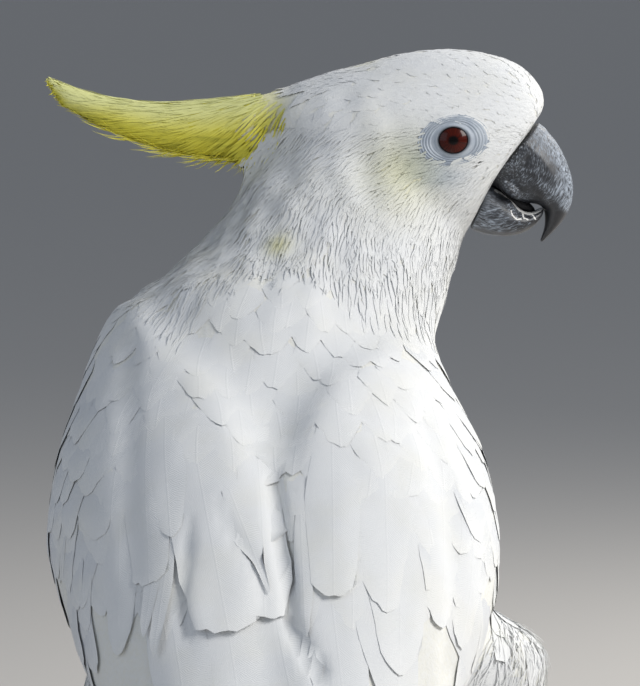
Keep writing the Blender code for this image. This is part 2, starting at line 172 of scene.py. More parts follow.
def bare_at(points: Array) -> Array:
    """How much the bluish skin shows through the thin feathers behind and below the eyes.

    Args:
        points: Places in the frame.

    Returns:
        From 0, covered, to 1, bare, at each point.
    """
    x, y, z = BIRD.own(points).T
    off = np.abs(y - HEAD_PLANE)
    behind = np.exp(-(((x - 50) / 7) ** 2 + ((z - 276) / 7) ** 2))
    below = np.exp(-(((x - 57) / 8) ** 2 + ((z - 271) / 4) ** 2))
    return np.clip(behind + below, 0, 1) * smoothstep(14, 20, off) * (z > 255)


def above(spots: Array, height: float, spacing: float) -> Array:
    """A spacing for spots above a height on the head, and one so wide that few lie below it.

    Args:
        spots: Places in the frame.
        height: The height, in the bird's millimetres.
        spacing: The spacing above it, in millimetres.

    Returns:
        Metres, one for each spot.
    """
    return spacing * MM + 30 * MM * (BIRD.own(spots)[:, 2] < height)


# ---------------------------------------------------------------- surfaces and the lie of the coat


class Surface:
    """A closed mesh that things are laid on, with smoothed normals."""

    def __init__(self, mesh: bpy.types.Mesh) -> None:
        """Reads the mesh as triangles.

        Args:
            mesh: The mesh, with its place in its points.
        """
        form = bmesh.new()
        form.from_mesh(mesh)
        bmesh.ops.triangulate(form, faces=form.faces)
        self.tree = BVHTree.FromBMesh(form)
        self.points = np.array([vert.co[:] for vert in form.verts])
        self.normals = np.array([vert.normal[:] for vert in form.verts])
        self.faces = np.array([[vert.index for vert in face.verts] for face in form.faces])
        form.free()

    def shares(self, spots: Array, faces: Array) -> Array:
        """How much of each corner of its triangle each spot takes.

        Args:
            spots: Points on the surface.
            faces: The triangle that each lies in.

        Returns:
            Barycentric weights, one row a spot.
        """
        a, b, c = (self.points[self.faces[faces, i]] for i in range(3))
        across, along, to = b - a, c - a, spots - a
        aa, ab, bb = (across**2).sum(1), (across * along).sum(1), (along**2).sum(1)
        ta, tb = (to * across).sum(1), (to * along).sum(1)
        scale = np.maximum(aa * bb - ab * ab, 1e-24)
        second = (bb * ta - ab * tb) / scale
        third = (aa * tb - ab * ta) / scale
        weights = np.clip(np.stack([1 - second - third, second, third], axis=1), 0, 1)
        return weights / weights.sum(1, keepdims=True)

    def nearest_faces(self, spots: Array) -> tuple[Array, Array]:
        """Finds the nearest point of the surface to each spot.

        Args:
            spots: Points near the surface, one a row.

        Returns:
            The nearest points and the triangles they lie in.
        """
        find = self.tree.find_nearest
        hits = [find(spot) for spot in spots.tolist()]
        return np.array([hit[0][:] for hit in hits]), np.array([hit[2] for hit in hits])

    def nearest(self, spots: Array) -> tuple[Array, Array]:
        """Brings spots onto the surface.

        Args:
            spots: Points near the surface, one a row.

        Returns:
            The nearest points and the smoothed normals there.
        """
        if len(spots) == 0:
            return np.empty((0, 3)), np.empty((0, 3))
        found, faces = self.nearest_faces(spots)
        weights = self.shares(found, faces)
        return found, unit((self.normals[self.faces[faces]] * weights[:, :, None]).sum(1))

    def distance(self, spots: Array) -> Array:
        """How far each spot is from the surface."""
        return np.array([self.tree.find_nearest(spot)[3] for spot in spots.tolist()])

    def hit(self, start: Array, towards: Array) -> Array | None:
        """Where a line from start first meets the surface, if it does."""
        found = self.tree.ray_cast(Vector(start), Vector(towards))[0]
        return None if found is None else np.array(found)

    def scatter(self, spacing: Callable[[Array], Array], seed: int) -> Array:
        """Spreads points over the surface no closer than a spacing that may vary.

        Args:
            spacing: Gives the least distance at each of many points, in metres.
            seed: Start of the random numbers.

        Returns:
            The points kept, one a row.
        """
        random = np.random.default_rng(seed)
        a, b, c = (self.points[self.faces[:, i]] for i in range(3))
        areas = np.linalg.norm(np.cross(b - a, c - a), axis=1) / 2
        wanted = areas / spacing((a + b + c) / 3) ** 2 * 5
        counts = (wanted + random.random(len(wanted))).astype(int)
        faces = np.repeat(np.arange(len(counts)), counts)
        one, two = random.random((2, len(faces), 1))
        over = (one + two) > 1
        one, two = np.where(over, 1 - one, one), np.where(over, 1 - two, two)
        spots = a[faces] + (b - a)[faces] * one + (c - a)[faces] * two
        gaps = spacing(spots)
        tree = KDTree(len(spots))
        for i, spot in enumerate(spots.tolist()):
            tree.insert(spot, i)
        tree.balance()
        free, kept = np.ones(len(spots), bool), []
        for i in random.permutation(len(spots)):
            if free[i]:
                kept.append(i)
                for _, other, _ in tree.find_range(spots[i], gaps[i]):
                    free[other] = False
        return spots[kept]


@dataclass(frozen=True)
class Guide:
    """How the coat lies at one place, in the bird's millimetres."""

    place: tuple[float, float, float]
    heading: tuple[float, float, float]
    length: float


HEAD_GUIDES = (
    Guide((92, 38, 301), (-0.35, 0, 0.94), 5),
    Guide((78, 38, 313), (-0.95, 0, 0.3), 9),
    Guide((55, 38, 315), (-1, 0, -0.04), 15),
    Guide((28, 38, 309), (-0.97, 0, -0.22), 19),
    Guide((2, 38, 299), (-0.8, 0, -0.6), 17),
    Guide((88, 54, 295), (-0.95, 0, 0.15), 4),
    Guide((76, 62, 284), (-0.97, 0, 0.0), 4.2),
    Guide((62, 63, 297), (-1, 0, 0.12), 6.5),
    Guide((48, 66, 285), (-0.96, 0, -0.28), 8),
    Guide((63, 64, 269), (-0.86, 0, -0.5), 7),
    Guide((71, 58, 264), (-0.78, 0, -0.62), 5.5),
    Guide((58, 62, 255), (-0.6, 0, -0.8), 11),
    Guide((38, 66, 272), (-0.8, 0, -0.6), 13),
    Guide((14, 58, 286), (-0.72, 0, -0.7), 14),
    Guide((67, 44, 249), (-0.35, 0, -0.93), 7),
    Guide((62, 42, 238), (-0.05, 0, -1), 12),
    Guide((-12, 38, 262), (-0.42, 0, -0.9), 15),
    Guide((20, 74, 252), (-0.2, 0, -0.98), 16),
)
NECK_GUIDES = (
    Guide((8, -8, 232), (-0.1, -0.4, -0.91), 21),
    Guide((-36, 30, 234), (-0.5, -0.1, -0.86), 19),
    Guide((60, 36, 228), (0.08, -0.05, -1), 17),
    Guide((10, 78, 225), (0, 0.2, -0.98), 20),
    Guide((40, 0, 230), (0.05, -0.3, -0.95), 19),
)
BODY_GUIDES = (
    Guide((0, -32, 200), (0, -0.45, -0.89), 30),
    Guide((46, -10, 195), (0.22, -0.35, -0.91), 28),
    Guide((0, -50, 165), (0, -0.58, -0.81), 36),
    Guide((62, -5, 165), (0.02, -0.45, -0.89), 26),
    Guide((0, -68, 128), (0, -0.7, -0.71), 38),
    Guide((70, -25, 130), (-0.03, -0.6, -0.8), 28),
    Guide((0, -92, 100), (0, -0.78, -0.62), 34),
    Guide((50, -80, 90), (-0.15, -0.8, -0.58), 30),
    Guide((0, -130, 72), (0, -0.88, -0.46), 34),
    Guide((0, -220, 25), (0, -0.95, -0.33), 34),
    Guide((0, 82, 190), (0, 0.02, -1), 25),
    Guide((50, 50, 170), (0, -0.1, -1), 23),
    Guide((0, 72, 140), (0, -0.3, -0.95), 27),
    Guide((45, 20, 110), (0, -0.55, -0.83), 23),
    Guide((0, 40, 98), (0, -0.75, -0.65), 27),
    Guide((0, -20, 66), (0, -0.97, -0.2), 27),
    Guide((0, -80, 52), (0, -1, 0.05), 27),
    Guide((0, -112, 52), (0, -0.98, -0.1), 28),
    Guide((64, -5, 100), (0, -0.15, -1), 20),
    Guide((46, -12, 62), (-0.35, -0.25, -0.9), 14),
    Guide((31, -25, 40), (-0.1, -0.1, -1), 8),
    Guide((20, -5, 75), (0.2, -0.3, -0.9), 15),
)


class Lie:
    """The way the coat runs and how long it is, everywhere on the bird."""

    def __init__(self) -> None:
        """Mirrors the guides and turns them into arrays."""
        guides = list(NECK_GUIDES)
        for guide in HEAD_GUIDES:
            x, y, z = guide.place
            guides += [guide, Guide((x, 2 * HEAD_PLANE - y, z), guide.heading, guide.length)]
        for guide in BODY_GUIDES:
            (x, y, z), (a, b, c) = guide.place, guide.heading
            guides += [guide, Guide((-x, y, z), (-a, b, c), guide.length)]
        self.places = np.array([guide.place for guide in guides], float)
        self.headings = unit(np.array([guide.heading for guide in guides], float))
        self.lengths = np.array([guide.length for guide in guides], float)

    def weights(self, spots: Array) -> Array:
        """How much each guide counts at each spot, near guides most.

        Args:
            spots: Points on the surface.

        Returns:
            One row a spot, which adds up to one.
        """
        apart = ((BIRD.own(spots)[:, None, :] - self.places[None]) ** 2).sum(2)
        near = 1 / (apart + 30) ** 2
        return near / near.sum(1, keepdims=True)

    def length(self, spots: Array) -> Array:
        """The length of a feather at each spot, in metres."""
        return self.weights(spots) @ self.lengths * MM

    def heading(self, spots: Array, normals: Array, turn: Array | float = 0.0) -> Array:
        """The way the coat runs at each spot, along the surface.

        Args:
            spots: Points on the surface.
            normals: The normals there.
            turn: Angle to turn each heading by, in radians.

        Returns:
            Unit vectors.
        """
        run = self.weights(spots) @ self.headings
        run = unit(run - normals * (run * normals).sum(1, keepdims=True))
        turn = np.broadcast_to(turn, (len(spots),))[:, None]
        return run * np.cos(turn) + np.cross(normals, run) * np.sin(turn)


@dataclass(frozen=True)
class Groove:
    """A furrow between groups of feathers on the back, in the bird's millimetres."""

    course: tuple[tuple[float, float], ...]  # x and z, seen from behind
    depth: float
    reach: float  # half its breadth


GROOVES = (
    Groove(((0, 176), (2.5, 156), (5, 143), (6, 132), (9, 124), (16, 116)), 3.4, 2.4),
    Groove(((-17, 165), (-14, 159), (-8.7, 153.5), (-4.4, 146.4), (-2.6, 139)), 0.9, 2.4),
    Groove(((-27, 158), (-28.6, 147), (-29.8, 135), (-27, 127)), 1.8, 1.8),
    Groove(((-50, 215), (-49, 190), (-48, 165), (-46, 145)), 1.6, 4.5),
    Groove(((52, 190), (60, 165), (62, 140), (60, 112)), 1.2, 4.0),
)


def distance_to(places: Array, line: Sequence[tuple[float, float]]) -> Array:
    """How far places are from a line of corners.

    Args:
        places: Pairs of numbers.
        line: The line's corners.

    Returns:
        One distance a place.
    """
    least = np.full(len(places), 1e9)
    for start, end in zip(line[:-1], line[1:]):
        one, two = np.array(start, float), np.array(end, float)
        share = np.clip(((places - one) @ (two - one)) / ((two - one) @ (two - one)), 0, 1)
        least = np.minimum(least, np.linalg.norm(places - one - share[:, None] * (two - one), axis=1))
    return least


def ruffle(mesh: bpy.types.Mesh) -> None:
    """Gives a smooth form the furrows of the back and the soft billows of a feathered neck.

    Args:
        mesh: The form, which is changed.
    """
    points, normals = points_of(mesh), normals_of(mesh)
    own = BIRD.own(points)
    x, y, z = own.T
    shift = np.zeros(len(points))
    behind = smoothstep(0.1, 0.5, -normals[:, 1])
    for groove in GROOVES:
        apart = distance_to(own[:, [0, 2]], groove.course)
        shift -= groove.depth * behind * np.exp(-((apart / groove.reach) ** 2))
    neck = smoothstep(212, 236, z) * smoothstep(312, 290, z) * smoothstep(62, 40, x)
    body = 0.35 * smoothstep(80, 100, z) * smoothstep(236, 215, z)
    places = np.stack([x / 9, y / 9, z / 13], axis=1)
    billow = np.array([noise.noise(place) for place in places.tolist()])
    broad = np.array([noise.noise(place) for place in (places * 0.45 + 7).tolist()])
    shift += (neck + body) * (1.2 * billow + 1.4 * broad)
    move(mesh, points + normals * (shift * MM)[:, None])
    mesh.update()


class Spine:
    """Stations down the middle of the body, from which places on its surface are found."""

    # y, z and lean in degrees, from the nape's foot to the wing tips; the first is number 3.
    STATIONS = (
        (33, 238, 10), (28, 224, 17), (18, 200, 27), (5, 173, 36), (-16, 146, 42), (-42, 120, 46),
        (-72, 97, 50), (-100, 78, 54), (-124, 69, 57), (-152, 57, 60), (-188, 44, 63), (-222, 32, 66),
    )
    FIRST = 3

    def __init__(self, surface: Surface) -> None:
        """Keeps the surface that places are found on."""
        self.surface = surface

    def spot(self, station: float, angle: float, side: Side) -> Array | None:
        """A place on the surface.

        Args:
            station: How far down the body, in stations.
            angle: Degrees round from the middle of the back.
            side: Which side of the body.

        Returns:
            The outermost point of the surface there, or nothing.
        """
        rows = np.array(self.STATIONS, float)
        place = np.clip(station - self.FIRST, 0, len(rows) - 1)
        y, z, lean = (np.interp(place, np.arange(len(rows)), rows[:, i]) for i in range(3))
        tilt, turn = math.radians(lean), math.radians(angle)
        back = math.cos(turn)
        out = np.array([side.value * math.sin(turn), -back * math.cos(tilt), back * math.sin(tilt)])
        middle = BIRD.world((0, y, z))
        return self.surface.hit(middle + out * OUTSIDE, -out)


# ---------------------------------------------------------------- meshes


def node_mesh(name: str, cut_behind: float | None = None) -> bpy.types.Mesh:
    """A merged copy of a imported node.

    Args:
        name: The node.
        cut_behind: Leaves out what lies behind this y, in metres.

    Returns:
        The copy, closed where it is cut.
    """
    form = bmesh.new()
    form.from_mesh(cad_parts[name].data)
    bmesh.ops.remove_doubles(form, verts=form.verts, dist=1e-6)
    if cut_behind is not None:
        everything = form.verts[:] + form.edges[:] + form.faces[:]
        plane = {"plane_co": (0, cut_behind, 0), "plane_no": (0, -1, 0)}
        bmesh.ops.bisect_plane(form, geom=everything, clear_outer=True, **plane)
        bmesh.ops.holes_fill(form, edges=[edge for edge in form.edges if edge.is_boundary])
    return mesh_from(form, name + "_copy")


# x, upper z and lower z of the crest along its length, in millimetres.
CREST_COURSE = (
    (22, 307.6, 292), (5, 302, 280), (-9, 299, 275), (-25, 297, 274), (-42, 296.4, 277.5), (-60, 298.7, 284),
    (-72, 302.3, 292.5), (-79, 305.2, 302.6),
)
FRINGE_ROOM = 2.8 * MM  # how far the lower edge is drawn up


def crest_share(points: Array) -> Array:
    """How far down the crest points lie.

    Args:
        points: Places in the frame.

    Returns:
        From 0 at the crest's upper edge to 1 at its lower one.
    """
    x, _, z = BIRD.own(points).T
    rows = np.array(CREST_COURSE)[::-1]
    top, bottom = np.interp(x, rows[:, 0], rows[:, 1]), np.interp(x, rows[:, 0], rows[:, 2])
    return np.clip((top - z) / (top - bottom), 0, 1)


def crest_mesh() -> bpy.types.Mesh:
    """Draws up the crest's lower edge, which leaves room for the fringe.

    Returns:
        A merged copy of the crest, so changed.
    """
    mesh = node_mesh("crest")
    points = points_of(mesh)
    x = BIRD.own(points)[:, 0]
    rise = smoothstep(0.4, 1.0, crest_share(points)) * smoothstep(0, -18, x) * smoothstep(-79, -66, x)
    points[:, 2] += FRINGE_ROOM * rise
    move(mesh, points)
    return mesh


def placed(name: str, data: bpy.types.ID) -> bpy.types.Object:
    """Puts a new object into the scene.

    Args:
        name: The object's name.
        data: Its mesh, lamp or camera.

    Returns:
        The object.
    """
    made = bpy.data.objects.new(name, data)
    bpy.context.scene.collection.objects.link(made)
    return made


def double_grid(across: int, along: int) -> tuple[bmesh.types.BMesh, list[bmesh.types.BMVert]]:
    """Makes a square grid with a copy of itself that faces the other way.

    Args:
        across: How many faces it has across.
        along: How many it has along.

    Returns:
        Both together, two units wide, and the copy's points.
    """
    form = bmesh.new()
    bmesh.ops.create_grid(form, x_segments=across, y_segments=along, size=1.0)
    under = bmesh.ops.duplicate(form, geom=form.verts[:] + form.edges[:] + form.faces[:])["geom"]
    bmesh.ops.reverse_faces(form, faces=[item for item in under if isinstance(item, bmesh.types.BMFace)])
    return form, [item for item in under if isinstance(item, bmesh.types.BMVert)]


def merged(parts: Sequence[bpy.types.Mesh], voxel: float, rounds: int, close: float = 0.0) -> bpy.types.Mesh:
    """One closed mesh round several, which are used up.

    Args:
        parts: The meshes.
        voxel: Fineness in metres.
        rounds: How many times the points are smoothed.
        close: Fills grooves narrower than twice this, in metres.

    Returns:
        The mesh, its largest piece only.
    """
    form = bmesh.new()
    for part in parts:
        form.from_mesh(part)
        bpy.data.meshes.remove(part)
    mesh = mesh_from(form, "joined")
    rough = placed("rough", mesh)
    for swell in ((close, -close) if close else ()) + (0.0,):
        remesh = rough.modifiers.new("Remesh", "REMESH")
        remesh.mode, remesh.voxel_size = "VOXEL", voxel
        if swell:
            displace = rough.modifiers.new("Displace", "DISPLACE")
            displace.strength, displace.mid_level = swell, 0.0
    whole = bpy.data.meshes.new_from_object(rough.evaluated_get(bpy.context.evaluated_depsgraph_get()))
    bpy.data.objects.remove(rough)
    bpy.data.meshes.remove(mesh)
    form = bmesh.new()
    form.from_mesh(whole)
    keep_largest(form)
    axes = {"use_axis_x": True, "use_axis_y": True, "use_axis_z": True}
    for _ in range(rounds):
        bmesh.ops.smooth_vert(form, verts=form.verts, factor=0.5, **axes)
    bmesh.ops.recalc_face_normals(form, faces=form.faces)
    form.to_mesh(whole)
    form.free()
    return whole


def whole_form(
    body: Sequence[bpy.types.Mesh], rest: Sequence[bpy.types.Mesh], voxel: float
) -> bpy.types.Mesh:
    """One ruffled form round parts of the bird, with the deep grooves of the body filled.

    Args:
        body: The body's parts.
        rest: The smaller parts.
        voxel: Fineness in metres.

    Returns:
        The form. The parts are used up.
    """
    body_voxel, body_groove, groove = 2.4 * MM, 9 * MM, 3 * MM
    filled = merged(body, body_voxel, 2, body_groove)
    whole = merged([filled, *rest], voxel, 4, groove)
    ruffle(whole)
    return whole


def vectors_of(items: bpy.types.bpy_prop_collection, name: str) -> Array:
    """Reads a vector of each item.

    Args:
        items: The items.
        name: What the vector is called.

    Returns:
        The vectors, one a row.
    """
    values = np.empty(len(items) * 3)
    items.foreach_get(name, values)
    return values.reshape(-1, 3)


def points_of(mesh: bpy.types.Mesh) -> Array:
    """The mesh's points, one a row."""
    return vectors_of(mesh.vertices, "co")


def normals_of(mesh: bpy.types.Mesh) -> Array:
    """The mesh's normals at its points, one a row."""
    return vectors_of(mesh.vertex_normals, "vector")


def move(mesh: bpy.types.Mesh, points: Array) -> None:
    """Moves the mesh's points to new places, one a row."""
    mesh.vertices.foreach_set("co", points.astype(np.float32).ravel())


def mesh_from(form: bmesh.types.BMesh, name: str) -> bpy.types.Mesh:
    """Turns an edited form into a mesh.

    Args:
        form: The form, which is used up.
        name: The mesh's name.

    Returns:
        The mesh.
    """
    mesh = bpy.data.meshes.new(name)
    form.to_mesh(mesh)
    form.free()
    return mesh


def store(mesh: bpy.types.Mesh, name: str, kind: str, values: Array) -> None:
    """Keeps values at each point of the mesh.

    Args:
        mesh: The mesh.
        name: What they are kept under.
        kind: FLOAT_COLOR or FLOAT_VECTOR.
        values: One row a point.
    """
    layer = mesh.attributes.new(name, kind, "POINT")
    layer.data.foreach_set("color" if kind == "FLOAT_COLOR" else "vector", values.astype(np.float32).ravel())


def keep_largest(form: bmesh.types.BMesh) -> None:
    """Deletes every loose piece but the largest.

    Args:
        form: The mesh, which is changed.
    """
    form.verts.ensure_lookup_table()
    seen, largest = set(), set()
    for start in form.verts:
        if start in seen:
            continue
        group, waiting = {start}, [start]
        while waiting:
            for edge in waiting.pop().link_edges:
                for vert in edge.verts:
                    if vert not in group:
                        group.add(vert)
                        waiting.append(vert)
        seen |= group
        if len(group) > len(largest):
            largest = group
    bmesh.ops.delete(form, geom=[vert for vert in form.verts if vert not in largest], context="VERTS")


def finished(name: str, mesh: bpy.types.Mesh, material: bpy.types.Material) -> bpy.types.Object:
    """Shows a mesh as a piece of the bird.

    Args:
        name: The piece's name.
        mesh: Its mesh, with its place in its points.
        material: What it is dressed in.

    Returns:
        The object, riding with the bird.
    """
    mesh.name = name
    mesh.materials.clear()
    mesh.materials.append(material)
    mesh.shade_smooth()
    made = placed(name, mesh)
    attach(made, "root")
    LOG.info("%s: %d faces", name, len(mesh.polygons))
    return made


# ---------------------------------------------------------------- feathers


class Vane:
    """The mesh that one feather is made from: a grid with an underside, closed round its edge."""

    def __init__(self, columns: int, rows: int) -> None:
        """Makes the pattern.

        Args:
            columns: Points across the vane.
            rows: Points along it, from root to tip.
        """
        form, copied = double_grid(columns - 1, rows - 1)
        below = [vert for vert in copied if not vert.is_boundary]
        bmesh.ops.translate(form, verts=below, vec=(0, 0, -1))
        bmesh.ops.remove_doubles(form, verts=form.verts, dist=1e-5)
        form.verts.index_update()
        places = np.array([vert.co[:] for vert in form.verts])
        self.faces = np.array([[vert.index for vert in face.verts] for face in form.faces])
        form.free()
        self.across, self.along, self.under = places[:, 0], (places[:, 1] + 1) / 2, -places[:, 2]
        self.rows = rows
        self.row = np.rint(self.along * (rows - 1)).astype(int)
        self.facing = np.where(self.under[self.faces].max(1) < 0.5, 1.0, -1.0)
        self.outer = self.faces[self.facing > 0]

    def normals(self, points: Array) -> Array:
        """Normals of the outer side at every point of many feathers.

        Args:
            points: The feathers' points, feather by feather.

        Returns:
            Unit vectors in the same order.
        """
        summed = np.zeros_like(points)
        for a, b, c, d in self.outer:
            turned = np.cross(points[:, c] - points[:, a], points[:, d] - points[:, b])
            for corner in (a, b, c, d):
                summed[:, corner] += turned
        return unit(summed)


SMALL_VANE, BODY_VANE, BARB, HAIR = Vane(5, 5), Vane(7, 6), Vane(3, 6), Vane(3, 4)
LONG_VANE, HERO_VANE = Vane(7, 15), Vane(11, 14)


@dataclass(frozen=True)
class Cut:
    """The shape of a kind of feather, as shares of its length or width."""

    pattern: Vane = BODY_VANE
    root: float = 0.25  # breadth at the root
    tip: float = 0.62  # breadth at the tip
    widest: float = 0.6  # where along the feather it is widest
    rounding: float = 0.22  # how far the tip's corners draw back
    depth: float = 0.05  # how deep the root lies, as a share of the length
    camber: float = 0.027  # how far the edges drop, as a share of the breadth
    dive: float = 0.018  # how far the tip dips into the feathers below, as a share of the length
    lift: float = 0.0  # how far the tip stands out, as a share of the length
    roll: float = 0.003  # how far one edge rises over the other
    uneven: float = 0.003  # how unevenly the tips stand out, as a share of the length
    thickness: float = 0.1 * MM
    soft: float = 0.84  # how far the form's own smoothness shows through in the shading
    laid: float = 1.0  # the share of the length that lies on the form; the rest runs free
    wander: float = 6.0  # degrees by which headings stray
    ragged: float = 0.05  # how unevenly the tip ends
    curl: float = 0.0  # how far the free end bends, in turns of heading per length
    fringe: int = 0  # how many loose barbs grow at the tip
    barb: float = 0.12  # how long these are, as a share of the length
    flat: bool = False  # whether the edges keep to the vane's own plane instead of the form


FRINGE = Cut(HAIR, root=0.9, tip=0.2, widest=0.3, rounding=0, depth=0.03, camber=0, dive=0.02, roll=0,
             uneven=0.006, thickness=0.06 * MM, wander=8, ragged=0, soft=0.9)


@dataclass
class Plumes:
    """Feathers gathered until they are joined as one mesh."""

    name: str
    points: list[Array] = field(default_factory=list)
    normals: list[Array] = field(default_factory=list)
    faces: list[Array] = field(default_factory=list)
    grain: list[Array] = field(default_factory=list)
    patches: list[Array] = field(default_factory=list)
    tints: list[Array] = field(default_factory=list)
    count: int = 0

    def add(
        self, pattern: Vane, points: Array, normals: Array, grain: Array, patches: Array, tints: Array
    ) -> None:
        """Takes in feathers of one pattern.

        Args:
            pattern: The pattern they share.
            points: Their points, feather by feather.
            normals: The normals they are shaded by.
            grain: Millimetres across and along the vane at each point.
            patches: Where each point lies on the unwrap.
            tints: How yellow, how uneven, how bare and how far along the feather each point is.
        """
        size, number = len(pattern.across), len(points)
        starts = self.count + np.arange(number) * size
        self.faces.append((pattern.faces[None] + starts[:, None, None]).reshape(-1, 4))
        self.points.append(points.reshape(-1, 3))
        turned = normals[:, pattern.faces] * pattern.facing[None, :, None, None]
        self.normals.append(turned.reshape(-1, 3).astype(np.float32))
        self.grain.append(grain.reshape(-1, 2))
        self.patches.append(patches.reshape(-1, 2))
        self.tints.append(tints.reshape(-1, 4))
        self.count += number * size

    def joined(self) -> bpy.types.Mesh:
        """Joins the feathers.

        Returns:
            One mesh, with their maps and tints.
        """
        points, faces = np.concatenate(self.points), np.concatenate(self.faces)
        mesh = bpy.data.meshes.new(self.name)
        mesh.vertices.add(len(points))
        move(mesh, points)
        mesh.loops.add(faces.size)
        mesh.loops.foreach_set("vertex_index", faces.astype(np.int32).ravel())
        mesh.polygons.add(len(faces))
        mesh.polygons.foreach_set("loop_start", np.arange(0, faces.size, 4, dtype=np.int32))
        mesh.update(calc_edges=True)
        corners = faces.ravel()
        for name, values in (("OFBake", self.patches), ("Grain", self.grain)):
            layer = mesh.uv_layers.new(name=name)
            layer.uv.foreach_set("vector", np.concatenate(values)[corners].astype(np.float32).ravel())
        store(mesh, "Tint", "FLOAT_COLOR", np.concatenate(self.tints))
        mesh.shade_smooth()
        mesh.normals_split_custom_set(np.concatenate(self.normals))
        return mesh


class Coat:
    """Lays feathers on the bird's form and keeps each where its root is on the skin's unwrap."""

    PATCH = 0.003  # size of a feather's patch on the unwrap
    LOOSE = (1.2 * MM, 6 * MM)  # the shortest and longest of the loose barbs
    LOOSE_BREADTH = 0.5 * MM

    def __init__(self, form: Surface, lie: Lie, skin: "Skin") -> None:
        """Keeps what feathers are laid by.

        Args:
            form: The outer form of the bird.
            lie: The way the coat runs.
            skin: The skin, whose unwrap places the feathers' patches.
        """
        self.form, self.lie, self.skin = form, lie, skin

    def lay(
        self,
        plumes: Plumes,
        cut: Cut,
        roots: Array,
        lengths: Array,
        breadths: Array,
        seed: int,
        tint: Callable[[Array], Array] | None = None,
        headings: Array | None = None,
        sink: float = 0.0,
        on: Surface | None = None,
    ) -> None:
        """Lays feathers along the form from their roots.

        Args:
            plumes: What they are gathered in.
            cut: Their shape.
            roots: Where each starts.
            lengths: How long each is.
            breadths: How broad each is at its widest.
            seed: Start of the random numbers.
            tint: Gives how yellow the feathers are at points.
            headings: The way each starts off, instead of the coat's own lie.
            sink: How much lower than usual they lie, in metres.
            on: The surface they lie on, instead of the outer form.
        """
        if len(roots) == 0:
            return
        random = np.random.default_rng(seed)
        turn = np.radians(random.normal(0, cut.wander, len(roots)))
        course = self.trace(cut, roots, lengths, turn, headings, on or self.form)
        self.shape(plumes, cut, course, lengths, breadths, random, tint, sink, on)

    def trace(
        self, cut: Cut, roots: Array, lengths: Array, turn: Array, headings: Array | None, on: Surface
    ) -> tuple:
        """Follows the lie of the coat from each root.

        Args:
            cut: The feathers' shape.
            roots: Where each starts.
            lengths: How long each is.
            turn: The angle by which each strays, in radians.
            headings: The way each starts off, instead of the coat's own lie.
            on: The surface they lie on.

        Returns:
            For each row of the pattern the places, the ways out of the form and the headings there.
        """
        rows = cut.pattern.rows
        spots, normals = on.nearest(roots)

        def run(at: Array, up: Array) -> Array:
            """The heading at places, along the surface.

            Args:
                at: The places.
                up: The normals there.

            Returns:
                Unit vectors.
            """
            if headings is None:
                return self.lie.heading(at, up, turn)
            flat = unit(headings - up * (headings * up).sum(1, keepdims=True))
            return flat * np.cos(turn)[:, None] + np.cross(up, flat) * np.sin(turn)[:, None]

        ahead = run(spots, normals)
        path, ups, aheads = [spots], [normals], [ahead]
        for row in range(1, rows):
            target = path[-1] + aheads[-1] * (lengths / (rows - 1))[:, None]
            if row / (rows - 1) <= cut.laid:
                spots, normals = on.nearest(target)
                ahead = run(spots, normals)
            else:
                spots = target
                ahead = unit(aheads[-1] + normals * cut.curl / (rows - 1))
                normals = unit(normals - ahead * (normals * ahead).sum(1, keepdims=True))
            path.append(spots)
            ups.append(normals)
            aheads.append(ahead)
        return path, ups, aheads

    def follow(
        self, plumes: Plumes, cut: Cut, courses: Array, outs: Array, breadths: Array, seed: int, sink: Array
    ) -> None:
        """Lays feathers along courses of their own.

        Args:
            plumes: What they are gathered in.
            cut: Their shape.
            courses: The places that each passes, from root to tip.
            outs: The way out of the wing at each of these.
            breadths: How broad each is.
            seed: Start of the random numbers.
            sink: How much lower than its course each lies, in metres.
        """
        aheads = unit(np.gradient(courses, axis=1))
        outs = unit(outs - aheads * (outs * aheads).sum(2, keepdims=True))
        courses = courses - outs * sink[:, None, None]
        lengths = np.linalg.norm(np.diff(courses, axis=1), axis=2).sum(1)
        course = [list(np.swapaxes(item, 0, 1)) for item in (courses, outs, aheads)]
        self.shape(plumes, cut, course, lengths, breadths, np.random.default_rng(seed))

    def shape(
        self,
        plumes: Plumes,
        cut: Cut,
        course: Sequence,
        lengths: Array,
        breadths: Array,
        random: np.random.Generator,
        tint: Callable[[Array], Array] | None = None,
        sink: float = 0.0,
        on: Surface | None = None,
    ) -> None:
        """Gives feathers their vanes along their courses.

        Args:
            plumes: What they are gathered in.
            cut: Their shape.
            course: For each row of the pattern the places, the ways out and the headings.
            lengths: How long each is.
            breadths: How broad each is at its widest.
            random: The random numbers.
            tint: Gives how yellow the feathers are at points.
            sink: How much lower than usual they lie, in metres.
            on: The surface they lie on, instead of the outer form.
        """
        surface, pattern, roots = on or self.form, cut.pattern, course[0][0]
        number = len(roots)
        path, ups, aheads = (np.stack(item, axis=1)[:, pattern.row] for item in course)

        u, v = pattern.across[None, :], pattern.along[None, :]
        rise = smoothstep(0, cut.widest, v)
        breadth = cut.root + (1 - cut.root) * rise - (1 - cut.tip) * smoothstep(cut.widest, 1.02, v)
        ends = 1 + cut.ragged * random.normal(0, 1, (number, len(pattern.across))) * v**3
        half = breadths[:, None] / 2 * breadth
        back = lengths[:, None] * (cut.rounding * u**2 * v**2 + (1 - ends))
        sides = np.cross(aheads, ups)
        points = path + sides * (half * u)[:, :, None] - aheads * back[:, :, None]
        if not cut.flat:
            on_form = np.broadcast_to(v <= cut.laid + 1e-6, half.shape)
            points[on_form], ups[on_form] = surface.nearest(points[on_form])

